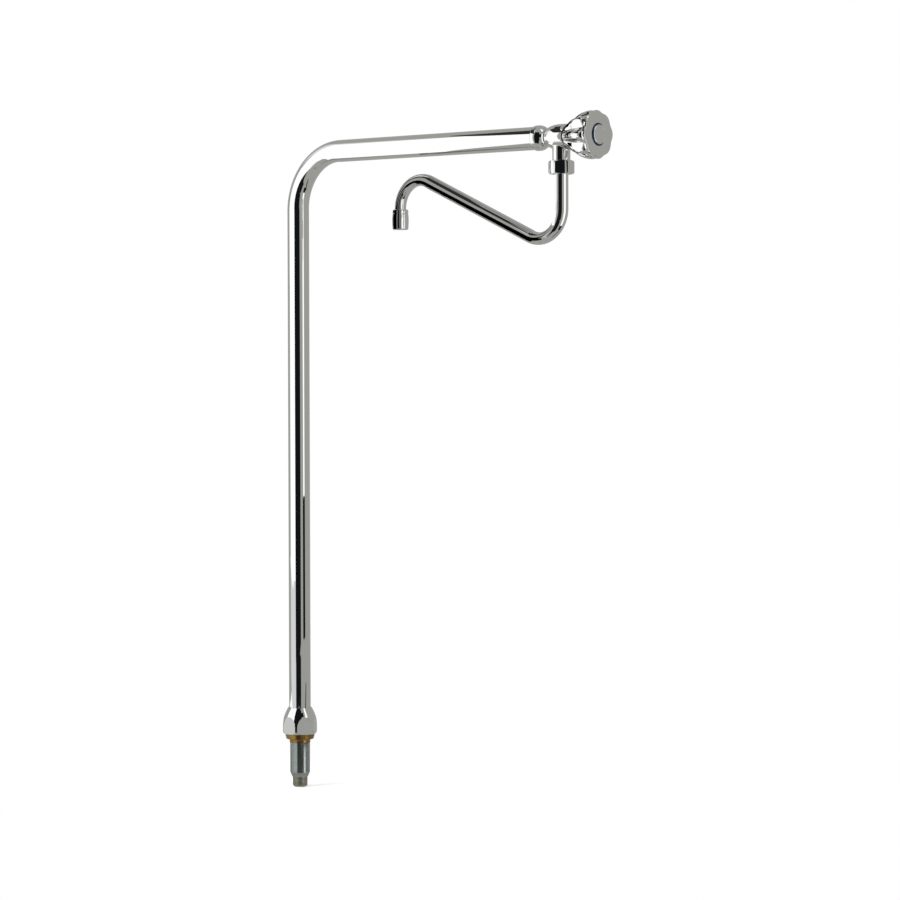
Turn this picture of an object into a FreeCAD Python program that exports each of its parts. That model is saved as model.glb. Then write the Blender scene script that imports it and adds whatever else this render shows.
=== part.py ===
"""Swivel pillar tap: a bent pillar on a threaded shank, a valve with a lobed handle, an S-shaped spout.

Millimetres, +Z up. The origin is on the pillar's axis, in the plane where the flange meets the deck.
The arm runs along +X, and the spout turns about a vertical axis through the valve's outlet.
Valve pieces are turned about the arm's axis, measured from the outlet's axis towards the handle.
"""
import FreeCAD, Part
import math
import os
import re
import Sketcher

SIZES = {
    # The whole tap
    "axis_up": 814.0,
    "outlet_reach": 462.0,
    "spout_reach": 274.0,
    "fit_gap": 0.05,
    "thread_gap": 0.1,
    "free_gap": 0.3,
    "waterway_radius": 6.5,
    # Flange body, the brass piece that holds the swivel
    "flange_rim": 2.8,
    "flange_height": 6.7,
    "flange_step": 0.8,
    "flange_foot_height": 3.4,
    "flange_chamfer": 0.8,
    "centring_step": 0.4,
    "centring_depth": 5.0,
    "centring_cone": 1.2,
    "swivel_top": 27.0,
    "swivel_step": 2.4,
    "socket_wall": 6.4,
    "socket_floor": 8.0,
    # Mounting shank and inlet tail
    "shank_radius": 14.0,
    "shank_length": 41.5,
    "shank_taper_height": 6.3,
    "shank_taper": 2.8,
    "shank_neck_step": 2.6,
    "shank_neck_length": 9.4,
    "tail_radius": 10.478,
    "tail_length": 14.6,
    "tail_chamfer": 2.5,
    "tail_relief_width": 1.4,
    "tail_relief_depth": 0.9,
    "tail_neck_step": 1.5,
    "tail_neck_length": 12.8,
    # Base nut
    "nut_wall": 7.0,
    "nut_flat_depth": 2.4,
    "nut_foot_step": 3.6,
    "nut_foot_height": 5.3,
    "nut_belt_height": 9.3,
    "nut_lip": 0.9,
    "nut_shoulder": 9.5,
    # Swivel pieces between the nut and the flange body
    "slide_ring": 1.5,
    "spigot_collar": 4.0,
    "spigot_neck_length": 11.5,
    "retaining_ring": 1.9,
    # Pillar and arm
    "pillar_radius": 15.0,
    "pillar_wall": 1.5,
    "pillar_bend": 80.0,
    # Collar at the arm's end
    "collar_back": 40.0,
    "collar_step": 1.5,
    "collar_length": 16.0,
    "collar_round": 5.0,
    "collar_plug": 14.0,
    "nipple_radius": 8.0,
    "nipple_length": 11.0,
    "inlet_washer": 1.6,
    # Valve body
    "boss_radius": 11.4,
    "boss_chamfer": 0.5,
    "barrel_radius": 16.3,
    "barrel_shoulder": 1.0,
    "barrel_front": 12.0,
    "barrel_taper": 0.4,
    "chamber_radius": 10.5,
    "chamber_floor": 7.0,
    "seat_rise": 1.5,
    "seat_bore": 5.0,
    "seat_rim": 1.6,
    "valve_neck_wall": 2.3,
    "valve_neck": 6.5,
    "branch_wall": 1.8,
    "branch_step": 0.75,
    "branch_shoulder": 30.3,
    "branch_thread": 7.7,
    "branch_bore": 6.0,
    "branch_fillet": 3.0,
    # Spout nut
    "spout_nut_wall": 4.15,
    "spout_nut_round": 4.3,
    "spout_nut_floor": 5.7,
    "spout_nut_angle": 39.0,
    # Headwork
    "headwork_nose_gap": 1.5,
    "headwork_gasket": 0.8,
    "headwork_flats": 21.0,
    "headwork_flange": 4.2,
    "headwork_barrel_radius": 8.0,
    "headwork_neck": 8.6,
    "plunger_guide": 15.9,
    # Spindle
    "spindle_radius": 4.5,
    "spindle_shoulder": 3.5,
    "spindle_stud_radius": 2.9,
    "spline_step": 0.5,
    "spline_length": 12.4,
    "handle_screw_radius": 2.0,
    # Plunger
    "valve_lift": 5.0,
    "plunger_flats": 11.0,
    "plunger_guide_gap": 0.15,
    "plunger_disc": 2.5,
    "plunger_stem_gap": 0.8,
    "seat_washer": 3.0,
    "washer_screw_radius": 1.5,
    "washer_screw_head_radius": 2.8,
    "washer_screw_head": 1.5,
    "washer_screw_length": 4.0,
    # Handle
    "handle_gap": 0.5,
    "lobe_count": 8.0,
    "lobe_angle": 4.0,
    "skirt_gap": 0.6,
    "plate_edge": 2.9,
    "plate_crest": 17.6,
    "plate_valley": 15.6,
    "plate_bevel": 1.1,
    "shell_flare": 6.6,
    "shell_depth": 27.5,
    "hub_radius": 7.5,
    "screw_seat": 2.0,
    "screw_head_radius": 3.8,
    "screw_head": 2.6,
    "screw_length": 10.0,
    "index_recess": 2.6,
    "index_ring_radius": 14.5,
    "index_ring_width": 1.9,
    "index_ring_proud": 0.2,
    "index_cap_rise": 2.2,
    "index_cap_round": 0.9,
    "index_plug_radius": 5.9,
    "index_plug_gap": 2.3,
    # Spout
    "spout_radius": 9.0,
    "spout_wall": 1.2,
    "spout_bend": 41.0,
    "nozzle_bend": 37.5,
    "spout_low": 149.0,
    "spout_high": 26.0,
    "bush_depth": 17.4,
    "bush_bore": 5.5,
    "bush_collar": 2.2,
    "bush_plug_length": 9.0,
    "spout_slide_ring": 0.8,
    "spout_retaining_ring": 1.5,
    # Aerator
    "ferrule_step": 0.7,
    "ferrule_dome": 2.7,
    "ferrule_height": 5.0,
    "ferrule_wall": 0.9,
    "ferrule_thread": 5.6,
    "housing_gap": 0.4,
    "housing_wall": 0.6,
    "housing_belly": 0.5,
    "housing_height": 21.7,
    "housing_round": 1.6,
    "housing_recess": 0.6,
    "housing_lip": 1.5,
    "mouth_lip": 0.7,
    "aerator_gasket": 2.0,
    "aerator_gasket_bore": 7.0,
    "insert_cup": 4.0,
    "insert_plate": 3.0,
    "jet_radius": 0.9,
    "jet_ring": 6.2,
    "jet_count": 12.0,
    # Sealing rings, which keep their section in every groove
    "big_ring_section": 0.95,
    "big_ring_groove": 2.6,
    "big_ring_rise": 6.0,
    "big_ring_pitch": 7.0,
    "spout_ring_section": 0.8,
    "spout_ring_groove": 2.3,
    "spout_ring_depth": 12.0,
    "spout_ring_pitch": 6.0,
    "small_ring_section": 0.7,
    "small_ring_groove": 2.0,
    "small_ring_rise": 2.8,
    "small_ring_pitch": 3.4,
}

# The handle's lobed outside: distance from its back, and how far the crests and the flutes stand
# outside the bore of its skirt.
LOBE_STATIONS = {
    "back": (0.0, 2.1, 1.3),
    "throat": (9.5, 8.2, 4.4),
    "waist": (19.5, 14.0, 8.0),
    "swell": (30.5, 17.1, 11.0),
    "brim": (39.5, 17.4, 12.4),
    "tuck": (43.5, 15.2, 12.2),
}

doc = FreeCAD.newDocument("swivel_pillar_tap")
sheet = doc.addObject("Spreadsheet::Sheet", "sizes")
for station, numbers in LOBE_STATIONS.items():
    for quantity, number in zip(("height", "crest", "valley"), numbers):
        SIZES[f"{station}_{quantity}"] = number
for row, (alias, number) in enumerate(SIZES.items(), start=1):
    sheet.set(f"A{row}", alias)
    sheet.set(f"B{row}", str(number))
    sheet.setAlias(f"B{row}", alias)
doc.recompute()


def bound(text):
    """Expression in which each word that names a size points to its cell."""
    return re.sub(r"[a-z_]+", lambda word: f"sizes.{word[0]}" if word[0] in SIZES else word[0], text)


def value(text):
    """Number that an expression gives."""
    return float(sheet.evalExpression(bound(text)))


def constrain(sketch, kind, elements, text):
    """Adds a dimension to a sketch and ties it to the sheet."""
    index = sketch.addConstraint(Sketcher.Constraint(kind, *elements, value(text)))
    sketch.setExpression(f"Constraints[{index}]", bound(text))


def pin_point(sketch, element, end, across, along):
    """Ties a point of a sketch to its two distances from the origin."""
    constrain(sketch, "DistanceX", (-1, 1, element, end), across)
    constrain(sketch, "DistanceY", (-1, 1, element, end), along)


def new_sketch(body, name, plane="XZ_Plane", lift="0"):
    """Empty sketch on one of the body's own planes, raised by lift."""
    sketch = body.newObject("Sketcher::SketchObject", name)
    support = next(item for item in body.Origin.OriginFeatures if item.Role == plane)
    sketch.AttachmentSupport = (support, [""])
    sketch.MapMode = "FlatFace"
    sketch.setExpression(".AttachmentOffset.Base.z", bound(lift))
    return sketch


def arc_between(start, end, radius, side):
    """Arc from start to end, its centre on the left (side 1) or right (side -1) of the way."""
    chord = end - start
    middle = (start + end) * 0.5
    left = FreeCAD.Vector(-chord.y, chord.x, 0).normalize()
    centre = middle + left * side * math.sqrt(radius**2 - (chord.Length / 2) ** 2)
    first, last = (start, end) if side > 0 else (end, start)
    angles = [math.atan2(point.y - centre.y, point.x - centre.x) for point in (first, last)]
    if angles[1] < angles[0]:
        angles[1] += 2 * math.pi
    circle = Part.Circle(centre, FreeCAD.Vector(0, 0, 1), radius)
    return Part.ArcOfCircle(circle, *angles)


def draw_path(sketch, corners, closed=True):
    """Draws a chain of lines and arcs.

    Each corner is (across, along), or (across, along, radius, side) where an arc leads to the next.
    """
    points = [FreeCAD.Vector(value(corner[0]), value(corner[1]), 0) for corner in corners]
    count = len(points) if closed else len(points) - 1
    ends = []
    for index in range(count):
        corner, start, end = corners[index], points[index], points[(index + 1) % len(points)]
        if len(corner) == 2:
            element = sketch.addGeometry(Part.LineSegment(start, end), False)
            ends.append((element, 1, 2))
        else:
            arc = arc_between(start, end, value(corner[2]), corner[3])
            element = sketch.addGeometry(arc, False)
            ends.append((element, 1, 2) if corner[3] > 0 else (element, 2, 1))
    for index in range(count if closed else count - 1):
        this, following = ends[index], ends[(index + 1) % count]
        sketch.addConstraint(Sketcher.Constraint("Coincident", this[0], this[2], following[0], following[1]))
    for (element, start, end), corner in zip(ends, corners):
        pin_point(sketch, element, start, corner[0], corner[1])
        if len(corner) > 2:
            constrain(sketch, "Radius", (element,), corner[2])
    if not closed:
        pin_point(sketch, ends[-1][0], ends[-1][2], corners[-1][0], corners[-1][1])


def draw_circle(sketch, radius, across="0", along="0"):
    """Draws a circle of the given radius."""
    centre = FreeCAD.Vector(value(across), value(along), 0)
    element = sketch.addGeometry(Part.Circle(centre, FreeCAD.Vector(0, 0, 1), value(radius)), False)
    pin_point(sketch, element, 3, across, along)
    constrain(sketch, "Radius", (element,), radius)


def draw_hexagon(sketch, flats, angle="0"):
    """Draws a regular hexagon, a corner at the given angle in degrees."""
    reach = f"({flats}) / 2 / cos(30)"
    turns = [f"({angle} + {60 * corner})" for corner in range(6)]
    draw_path(sketch, [(f"{reach} * cos{turn}", f"{reach} * sin{turn}") for turn in turns])


def new_body(label):
    """Empty body for one piece."""
    return doc.addObject("PartDesign::Body", label)


def turn(body, name, corners, cut=False, axis="V_Axis"):
    """Turns an outline about an axis, as metal or, with cut, as a cut."""
    sketch = new_sketch(body, f"{name}_outline")
    draw_path(sketch, corners)
    doc.recompute()
    feature = body.newObject("PartDesign::Groove" if cut else "PartDesign::Revolution", name)
    feature.Profile = sketch
    feature.ReferenceAxis = (sketch, [axis])
    feature.Angle = 360
    sketch.Visibility = False
    return feature


def turned(label, corners):
    """Piece that is one turned outline."""
    body = new_body(label)
    turn(body, f"{label}_turned", corners)
    return body


def ring(label, inner, outer, low, high):
    """Flat ring between two heights."""
    return turned(label, [(inner, low), (outer, low), (outer, high), (inner, high)])


def mill_flats(body, flats, corner_radius, angle="0"):
    """Mills six flats along the whole height."""
    sketch = new_sketch(body, f"{body.Name}_flats", "XY_Plane")
    draw_circle(sketch, f"{corner_radius} * 2")
    draw_hexagon(sketch, flats, angle)
    doc.recompute()
    pocket = body.newObject("PartDesign::Pocket", f"{body.Name}_milled")
    pocket.Profile = sketch
    pocket.Type = "ThroughAll"
    pocket.Midplane = True
    return pocket


def sealing_rings(label, inner, section, first, pitch):
    """Pair of round sealing rings, each its own solid."""
    rings = []
    for index in range(2):
        torus = doc.addObject("Part::Torus", f"{label}_{index + 1}")
        torus.setExpression("Radius1", bound(f"{inner} + {section}"))
        torus.setExpression("Radius2", bound(section))
        torus.setExpression(".Placement.Base.z", bound(f"{first} + {index} * {pitch}"))
        rings.append(torus)
    pair = doc.addObject("Part::Compound", label)
    pair.Links = rings
    return pair


def grooves(stem, root, width, first, pitch):
    """Corners of the two ring grooves in a turned stem, from the first groove on."""
    corners = []
    for index in range(2):
        middle = f"({first} + {index} * {pitch})"
        for radius, side in ((stem, "-"), (root, "-"), (root, "+"), (stem, "+")):
            corners.append((radius, f"{middle} {side} {width} / 2"))
    return corners


def upside_down(corners):
    """The same outline with its heights measured downwards."""
    return [(corner[0], f"-({corner[1]})", *corner[2:]) for corner in corners]


pieces = []


def place(piece, at_outlet=False, along_arm=False):
    """Puts a piece in the tap: on the pillar's axis, or at the outlet, upright or along the arm."""
    if along_arm:
        piece.Placement = FreeCAD.Placement(FreeCAD.Vector(), FreeCAD.Rotation(FreeCAD.Vector(0, 1, 0), 90))
    if at_outlet or along_arm:
        piece.setExpression(".Placement.Base.x", bound("outlet_reach"))
        piece.setExpression(".Placement.Base.z", bound("axis_up"))
    pieces.append(piece)


# Radii of the swivel, from the pillar's outwards and inwards
swivel_radius = "(pillar_radius + swivel_step)"
socket_radius = f"({swivel_radius} - socket_wall)"
spigot_collar_radius = f"({swivel_radius} - free_gap - thread_gap)"
pillar_bore = "(pillar_radius - pillar_wall)"

# Heights on the pillar's axis, built up from the deck
shank_top = "-centring_depth"
shank_foot = f"({shank_top} - shank_length - shank_taper_height)"
tail_foot = f"({shank_foot} - tail_length)"
collar_low = "(swivel_top + slide_ring)"
collar_high = f"({collar_low} + spigot_collar)"
nut_shoulder_height = f"({collar_high} + retaining_ring + thread_gap)"
nut_top = f"({nut_shoulder_height} + nut_shoulder)"

# Flange body: turned brass, with the socket that the pillar's spigot turns in
flange_radius = f"({swivel_radius} + flange_rim)"
centring_radius = "(shank_radius + centring_step)"
shank_neck_radius = "(shank_radius - shank_neck_step)"
shank_socket = f"({shank_neck_radius} + thread_gap)"
flange_body = turned("flange_body", [
    (socket_radius, "swivel_top"),
    (swivel_radius, "swivel_top"),
    (swivel_radius, "flange_height"),
    (flange_radius, "flange_height"),
    (flange_radius, "flange_foot_height"),
    (f"{flange_radius} - flange_step", "flange_foot_height"),
    (f"{flange_radius} - flange_step", "flange_chamfer"),
    (f"{flange_radius} - flange_step - flange_chamfer", "0"),
    (f"{centring_radius} + flange_chamfer", "0"),
    (centring_radius, "-centring_cone"),
    (centring_radius, shank_top),
    (shank_socket, shank_top),
    (shank_socket, f"{shank_top} + shank_neck_length + thread_gap"),
    ("waterway_radius", f"{shank_top} + shank_neck_length + thread_gap"),
    ("waterway_radius", "socket_floor"),
    (socket_radius, "socket_floor"),
])
place(flange_body)

# Mounting shank: threaded steel tube that goes through the deck
tail_neck_radius = "(tail_radius - tail_neck_step)"
tail_socket = f"({tail_neck_radius} + thread_gap)"
tail_socket_end = f"{shank_foot} + tail_neck_length + thread_gap"
mounting_shank = turned("mounting_shank", [
    ("waterway_radius", f"{shank_top} + shank_neck_length"),
    (shank_neck_radius, f"{shank_top} + shank_neck_length"),
    (shank_neck_radius, shank_top),
    ("shank_radius", shank_top),
    ("shank_radius", f"{shank_foot} + shank_taper_height"),
    ("shank_radius - shank_taper", shank_foot),
    (tail_socket, shank_foot),
    (tail_socket, tail_socket_end),
    ("waterway_radius", tail_socket_end),
])
place(mounting_shank)

# Inlet tail: half-inch thread for the supply, screwed into the shank
inlet_tail = turned("inlet_tail", [
    ("waterway_radius", f"{shank_foot} + tail_neck_length"),
    (tail_neck_radius, f"{shank_foot} + tail_neck_length"),
    (tail_neck_radius, shank_foot),
    ("tail_radius - tail_relief_depth", shank_foot),
    ("tail_radius - tail_relief_depth", f"{shank_foot} - tail_relief_width"),
    ("tail_radius", f"{shank_foot} - tail_relief_width"),
    ("tail_radius", f"{tail_foot} + tail_chamfer"),
    ("tail_radius - tail_chamfer", tail_foot),
    ("waterway_radius", tail_foot),
])
place(inlet_tail)

# Base nut: domed nut with six milled flats, which holds the pillar's collar down
belt_high = "flange_height + nut_belt_height"
nut_radius = f"({swivel_radius} + nut_wall)"
dome_drop = f"({nut_radius} - pillar_radius - free_gap - nut_lip)"
dome_rise = f"({nut_top} - flange_height - nut_belt_height)"
base_nut = turned("base_nut", [
    (f"{swivel_radius} + thread_gap", "flange_height"),
    (
        f"{nut_radius} - nut_foot_step", "flange_height",
        "(nut_foot_step^2 + nut_foot_height^2) / 2 / nut_foot_step", 1,
    ),
    (nut_radius, "flange_height + nut_foot_height"),
    (nut_radius, belt_high, f"({dome_drop}^2 + {dome_rise}^2) / 2 / {dome_drop}", 1),
    ("pillar_radius + free_gap + nut_lip", nut_top),
    ("pillar_radius + free_gap", nut_top),
    ("pillar_radius + free_gap", nut_shoulder_height),
    (f"{swivel_radius} + thread_gap", nut_shoulder_height),
])
mill_flats(base_nut, f"(2 * ({nut_radius} - nut_flat_depth))", nut_radius)
place(base_nut)

# Slide ring under the collar and retaining ring over it, both nylon
base_slide_ring = ring(
    "base_slide_ring", f"{socket_radius} + free_gap", spigot_collar_radius, "swivel_top", collar_low
)
place(base_slide_ring)
base_retaining_ring = ring(
    "base_retaining_ring",
    "pillar_radius + free_gap + thread_gap",
    f"{swivel_radius} - free_gap",
    collar_high,
    f"{collar_high} + retaining_ring",
)
place(base_retaining_ring)

# Spigot: turned end brazed into the pillar's foot, with grooves for two sealing rings
spigot_radius = f"({socket_radius} - fit_gap)"
spigot_groove_root = f"({spigot_radius} - 2 * big_ring_section - fit_gap)"
spigot_lead = "(2 * free_gap)"
big_ring_first = "(socket_floor + big_ring_rise)"
pillar_spigot = turned("pillar_spigot", [
    ("waterway_radius", f"socket_floor + {spigot_lead}"),
    (f"{spigot_radius} - {spigot_lead}", f"socket_floor + {spigot_lead}"),
    (spigot_radius, f"socket_floor + 2 * {spigot_lead}"),
    *grooves(spigot_radius, spigot_groove_root, "big_ring_groove", big_ring_first, "big_ring_pitch"),
    (spigot_radius, collar_low),
    (spigot_collar_radius, collar_low),
    (spigot_collar_radius, collar_high),
    (f"{pillar_bore} - fit_gap", collar_high),
    (f"{pillar_bore} - fit_gap", f"{collar_high} + spigot_neck_length"),
    ("waterway_radius", f"{collar_high} + spigot_neck_length"),
])
place(pillar_spigot)
spigot_o_rings = sealing_rings(
    "spigot_o_rings", f"{spigot_groove_root} + thread_gap / 2", "big_ring_section - fit_gap",
    big_ring_first, "big_ring_pitch",
)
place(spigot_o_rings)


def bent_tube(label, route, low, radius, wall, across="0"):
    """Tube of one wall along a route of lines and tangent arcs that starts upwards or downwards."""
    body = new_body(label)
    path = new_sketch(body, f"{label}_route")
    draw_path(path, route, closed=False)
    section = new_sketch(body, f"{label}_section", "XY_Plane", low)
    draw_circle(section, radius, across)
    draw_circle(section, f"{radius} - {wall}", across)
    doc.recompute()
    pipe = body.newObject("PartDesign::AdditivePipe", f"{label}_drawn")
    pipe.Profile = section
    pipe.Spine = (path, [f"Edge{index + 1}" for index in range(len(path.Shape.Edges))])
    return body


# Pillar: one tube, bent once, standing on the spigot's collar
pillar_tube = bent_tube(
    "pillar_tube",
    [
        ("0", collar_high),
        ("0", "axis_up - pillar_bend", "pillar_bend", -1),
        ("pillar_bend", "axis_up"),
        ("outlet_reach - collar_back", "axis_up"),
    ],
    collar_high, "pillar_radius", "pillar_wall",
)
place(pillar_tube)

# Collar: closes the arm's end and carries the nipple that the valve is screwed to
collar_front = "(collar_length - collar_back)"
collar_radius = "(pillar_radius + collar_step)"
arm_collar = turned("arm_collar", [
    ("waterway_radius", "-collar_back - collar_plug"),
    (f"{pillar_bore} - fit_gap", "-collar_back - collar_plug"),
    (f"{pillar_bore} - fit_gap", "-collar_back"),
    (collar_radius, "-collar_back"),
    (collar_radius, f"{collar_front} - collar_round", "collar_round", 1),
    (f"{collar_radius} - collar_round", collar_front),
    ("nipple_radius", collar_front),
    ("nipple_radius", f"{collar_front} + nipple_length"),
    ("waterway_radius", f"{collar_front} + nipple_length"),
])
place(arm_collar, along_arm=True)
boss_back = f"({collar_front} + inlet_washer)"
inlet_washer = ring(
    "inlet_washer", "nipple_radius + free_gap", "boss_radius - 2 * boss_chamfer", collar_front, boss_back
)
place(inlet_washer, along_arm=True)

# Valve body: a casting, turned and bored after its branch has been blended in
seat_face = "(seat_rise - chamber_floor)"
seat_radius = "(seat_bore + seat_rim)"
valve_neck_radius = "(chamber_radius + valve_neck_wall)"
valve_neck_end = "(barrel_front + valve_neck)"
bush_bore_radius = "(spout_radius + fit_gap)"
branch_thread_radius = f"({bush_bore_radius} + branch_wall)"
branch_radius = f"({branch_thread_radius} + branch_step)"
branch_length = "(branch_shoulder + branch_thread)"
barrel_drop = "(barrel_radius - boss_radius)"
barrel_run = f"(-barrel_shoulder - {boss_back} - boss_chamfer)"
valve_body = new_body("valve_body")
turn(valve_body, "valve_barrel", [
    ("0", boss_back),
    ("boss_radius - boss_chamfer", boss_back),
    (
        "boss_radius", f"{boss_back} + boss_chamfer",
        f"({barrel_drop}^2 + {barrel_run}^2) / 2 / {barrel_drop}", 1,
    ),
    ("barrel_radius", "-barrel_shoulder"),
    ("barrel_radius", "barrel_front / 2"),
    ("barrel_radius - barrel_taper", "barrel_front"),
    ("barrel_radius - barrel_taper", valve_neck_end),
    ("0", valve_neck_end),
])
branch = turn(valve_body, "valve_branch", [
    ("0", "0"),
    (branch_length, "0"),
    (branch_length, branch_thread_radius),
    ("branch_shoulder", branch_thread_radius),
    ("branch_shoulder", branch_radius),
    ("0", branch_radius),
], axis="H_Axis")
doc.recompute()
roots = []
for index, edge in enumerate(branch.Shape.Edges, start=1):
    samples = [edge.valueAt(parameter) for parameter in edge.ParameterRange]
    on_branch = all(abs(math.hypot(p.y, p.z) - value(branch_radius)) < 0.01 for p in samples)
    on_barrel = all(value("boss_radius") < math.hypot(p.x, p.y) < value("barrel_radius + 1") for p in samples)
    if on_branch and on_barrel and all(p.x > 0 for p in samples):
        roots.append(f"Edge{index}")
fillet = valve_body.newObject("PartDesign::Fillet", "valve_branch_root")
fillet.Base = (branch, roots)
fillet.setExpression("Radius", bound("branch_fillet"))
turn(valve_body, "valve_neck", [
    (valve_neck_radius, "barrel_front"),
    ("barrel_radius * 2", "barrel_front"),
    ("barrel_radius * 2", f"{valve_neck_end} * 2"),
    (valve_neck_radius, f"{valve_neck_end} * 2"),
], cut=True)
nipple_socket = "(nipple_radius + thread_gap)"
nipple_socket_end = f"{collar_front} + nipple_length + thread_gap"
turn(valve_body, "valve_chamber", [
    ("0", f"{boss_back} - 1"),
    (nipple_socket, f"{boss_back} - 1"),
    (nipple_socket, nipple_socket_end),
    ("seat_bore", nipple_socket_end),
    ("seat_bore", seat_face),
    (seat_radius, seat_face),
    (seat_radius, "-chamber_floor"),
    ("chamber_radius", "-chamber_floor"),
    ("chamber_radius", f"{valve_neck_end} + 1"),
    ("0", f"{valve_neck_end} + 1"),
], cut=True)
bush_top = f"({branch_length} - bush_depth)"
turn(valve_body, "valve_outlet", [
    ("chamber_radius - 2", "0"),
    (f"{branch_length} + 1", "0"),
    (f"{branch_length} + 1", bush_bore_radius),
    (f"{bush_top} - 2 * free_gap", bush_bore_radius),
    (f"{bush_top} - 2 * free_gap", "branch_bore"),
    ("chamber_radius - 2", "branch_bore"),
], cut=True, axis="H_Axis")
place(valve_body, along_arm=True)

# Headwork: hexagonal flange between the thread in the body and the barrel round the spindle
washer_high = f"({seat_face} + seat_washer)"
disc_high = f"({washer_high} + plunger_disc)"
headwork_nose = f"({disc_high} + valve_lift + headwork_nose_gap)"
flange_back = f"({valve_neck_end} + headwork_gasket)"
guide_end = f"({headwork_nose} + plunger_guide)"
headwork_end = f"({guide_end} + headwork_neck)"
headwork = new_body("headwork")
flange_sketch = new_sketch(headwork, "headwork_hexagon", "XY_Plane", flange_back)
draw_hexagon(flange_sketch, "headwork_flats")
doc.recompute()
flange = headwork.newObject("PartDesign::Pad", "headwork_flange_pad")
flange.Profile = flange_sketch
flange.setExpression("Length", bound("headwork_flange"))
turn(headwork, "headwork_stem", [
    ("0", headwork_nose),
    ("chamber_radius - thread_gap", headwork_nose),
    ("chamber_radius - thread_gap", flange_back),
    ("headwork_barrel_radius", flange_back),
    ("headwork_barrel_radius", f"{headwork_end} - 1"),
    ("headwork_barrel_radius - 1", headwork_end),
    ("0", headwork_end),
])
guide_sketch = new_sketch(headwork, "plunger_guide_hexagon", "XY_Plane", headwork_nose)
draw_hexagon(guide_sketch, "(plunger_flats + 2 * plunger_guide_gap)")
doc.recompute()
guide = headwork.newObject("PartDesign::Pocket", "plunger_guide_pocket")
guide.Profile = guide_sketch
guide.Reversed = True
guide.setExpression("Length", bound("plunger_guide"))
turn(headwork, "spindle_bore", [
    ("0", f"{headwork_nose} + 1"),
    ("spindle_radius + fit_gap", f"{headwork_nose} + 1"),
    ("spindle_radius + fit_gap", f"{headwork_end} + 1"),
    ("0", f"{headwork_end} + 1"),
], cut=True)
place(headwork, along_arm=True)
headwork_gasket = ring(
    "headwork_gasket", "chamber_radius + free_gap", f"{valve_neck_radius} - free_gap", valve_neck_end, flange_back
)
place(headwork_gasket, along_arm=True)

# Spindle: turns only, and its stud drives the plunger along the guide
shoulder_high = f"({guide_end} - thread_gap)"
shoulder_low = f"({shoulder_high} - spindle_shoulder)"
stud_low = f"({disc_high} + plunger_disc + valve_lift + free_gap)"
spindle_groove_root = "(spindle_radius - 2 * small_ring_section - fit_gap)"
small_ring_first = f"({guide_end} + small_ring_rise)"
spline_start = f"({headwork_end} + 2 * free_gap)"
spline_radius = "(spindle_radius - spline_step)"
spline_end = f"({spline_start} + spline_length)"
screw_bore = "(handle_screw_radius + fit_gap)"
screw_bore_low = f"({spline_end} - screw_length)"
spindle = turned("spindle", [
    ("0", stud_low),
    ("spindle_stud_radius", stud_low),
    ("spindle_stud_radius", shoulder_low),
    ("plunger_flats / 2", shoulder_low),
    ("plunger_flats / 2", shoulder_high),
    ("spindle_radius", shoulder_high),
    *grooves("spindle_radius", spindle_groove_root, "small_ring_groove", small_ring_first, "small_ring_pitch"),
    ("spindle_radius", spline_start),
    (spline_radius, spline_start),
    (spline_radius, spline_end),
    (screw_bore, spline_end),
    (screw_bore, screw_bore_low),
    ("0", screw_bore_low),
])
place(spindle, along_arm=True)
spindle_o_rings = sealing_rings(
    "spindle_o_rings", f"{spindle_groove_root} + thread_gap / 2", "small_ring_section - fit_gap",
    small_ring_first, "small_ring_pitch",
)
spindle_o_rings.Placement = FreeCAD.Placement()
place(spindle_o_rings, along_arm=True)

# Plunger: keyed by its hexagon, with the washer that shuts on the seat
plunger_high = f"({shoulder_low} - valve_lift - plunger_stem_gap)"
valve_plunger = new_body("valve_plunger")
stem_sketch = new_sketch(valve_plunger, "plunger_hexagon", "XY_Plane", disc_high)
draw_hexagon(stem_sketch, "plunger_flats")
doc.recompute()
stem = valve_plunger.newObject("PartDesign::Pad", "plunger_stem_pad")
stem.Profile = stem_sketch
stem.setExpression("Length", bound(f"{plunger_high} - {disc_high}"))
turn(valve_plunger, "plunger_plate", [
    ("0", washer_high),
    (f"{seat_radius} + free_gap", washer_high),
    (f"{seat_radius} + free_gap", disc_high),
    ("0", disc_high),
])
turn(valve_plunger, "plunger_bore", [
    ("0", f"{disc_high} + plunger_disc"),
    ("spindle_stud_radius + thread_gap", f"{disc_high} + plunger_disc"),
    ("spindle_stud_radius + thread_gap", f"{plunger_high} + 1"),
    ("0", f"{plunger_high} + 1"),
], cut=True)
turn(valve_plunger, "plunger_screw_hole", [
    ("0", f"{washer_high} - 1"),
    ("washer_screw_radius + fit_gap", f"{washer_high} - 1"),
    ("washer_screw_radius + fit_gap", f"{washer_high} + washer_screw_length"),
    ("0", f"{washer_high} + washer_screw_length"),
], cut=True)
place(valve_plunger, along_arm=True)
seat_washer = ring("seat_washer", "washer_screw_radius + free_gap", seat_radius, seat_face, washer_high)
place(seat_washer, along_arm=True)
washer_screw = turned("washer_screw", [
    ("0", f"{seat_face} - washer_screw_head"),
    ("washer_screw_head_radius", f"{seat_face} - washer_screw_head"),
    ("washer_screw_head_radius", seat_face),
    ("washer_screw_radius", seat_face),
    ("washer_screw_radius", f"{washer_high} + washer_screw_length - free_gap"),
    ("0", f"{washer_high} + washer_screw_length - free_gap"),
])
place(washer_screw, along_arm=True)


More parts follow.
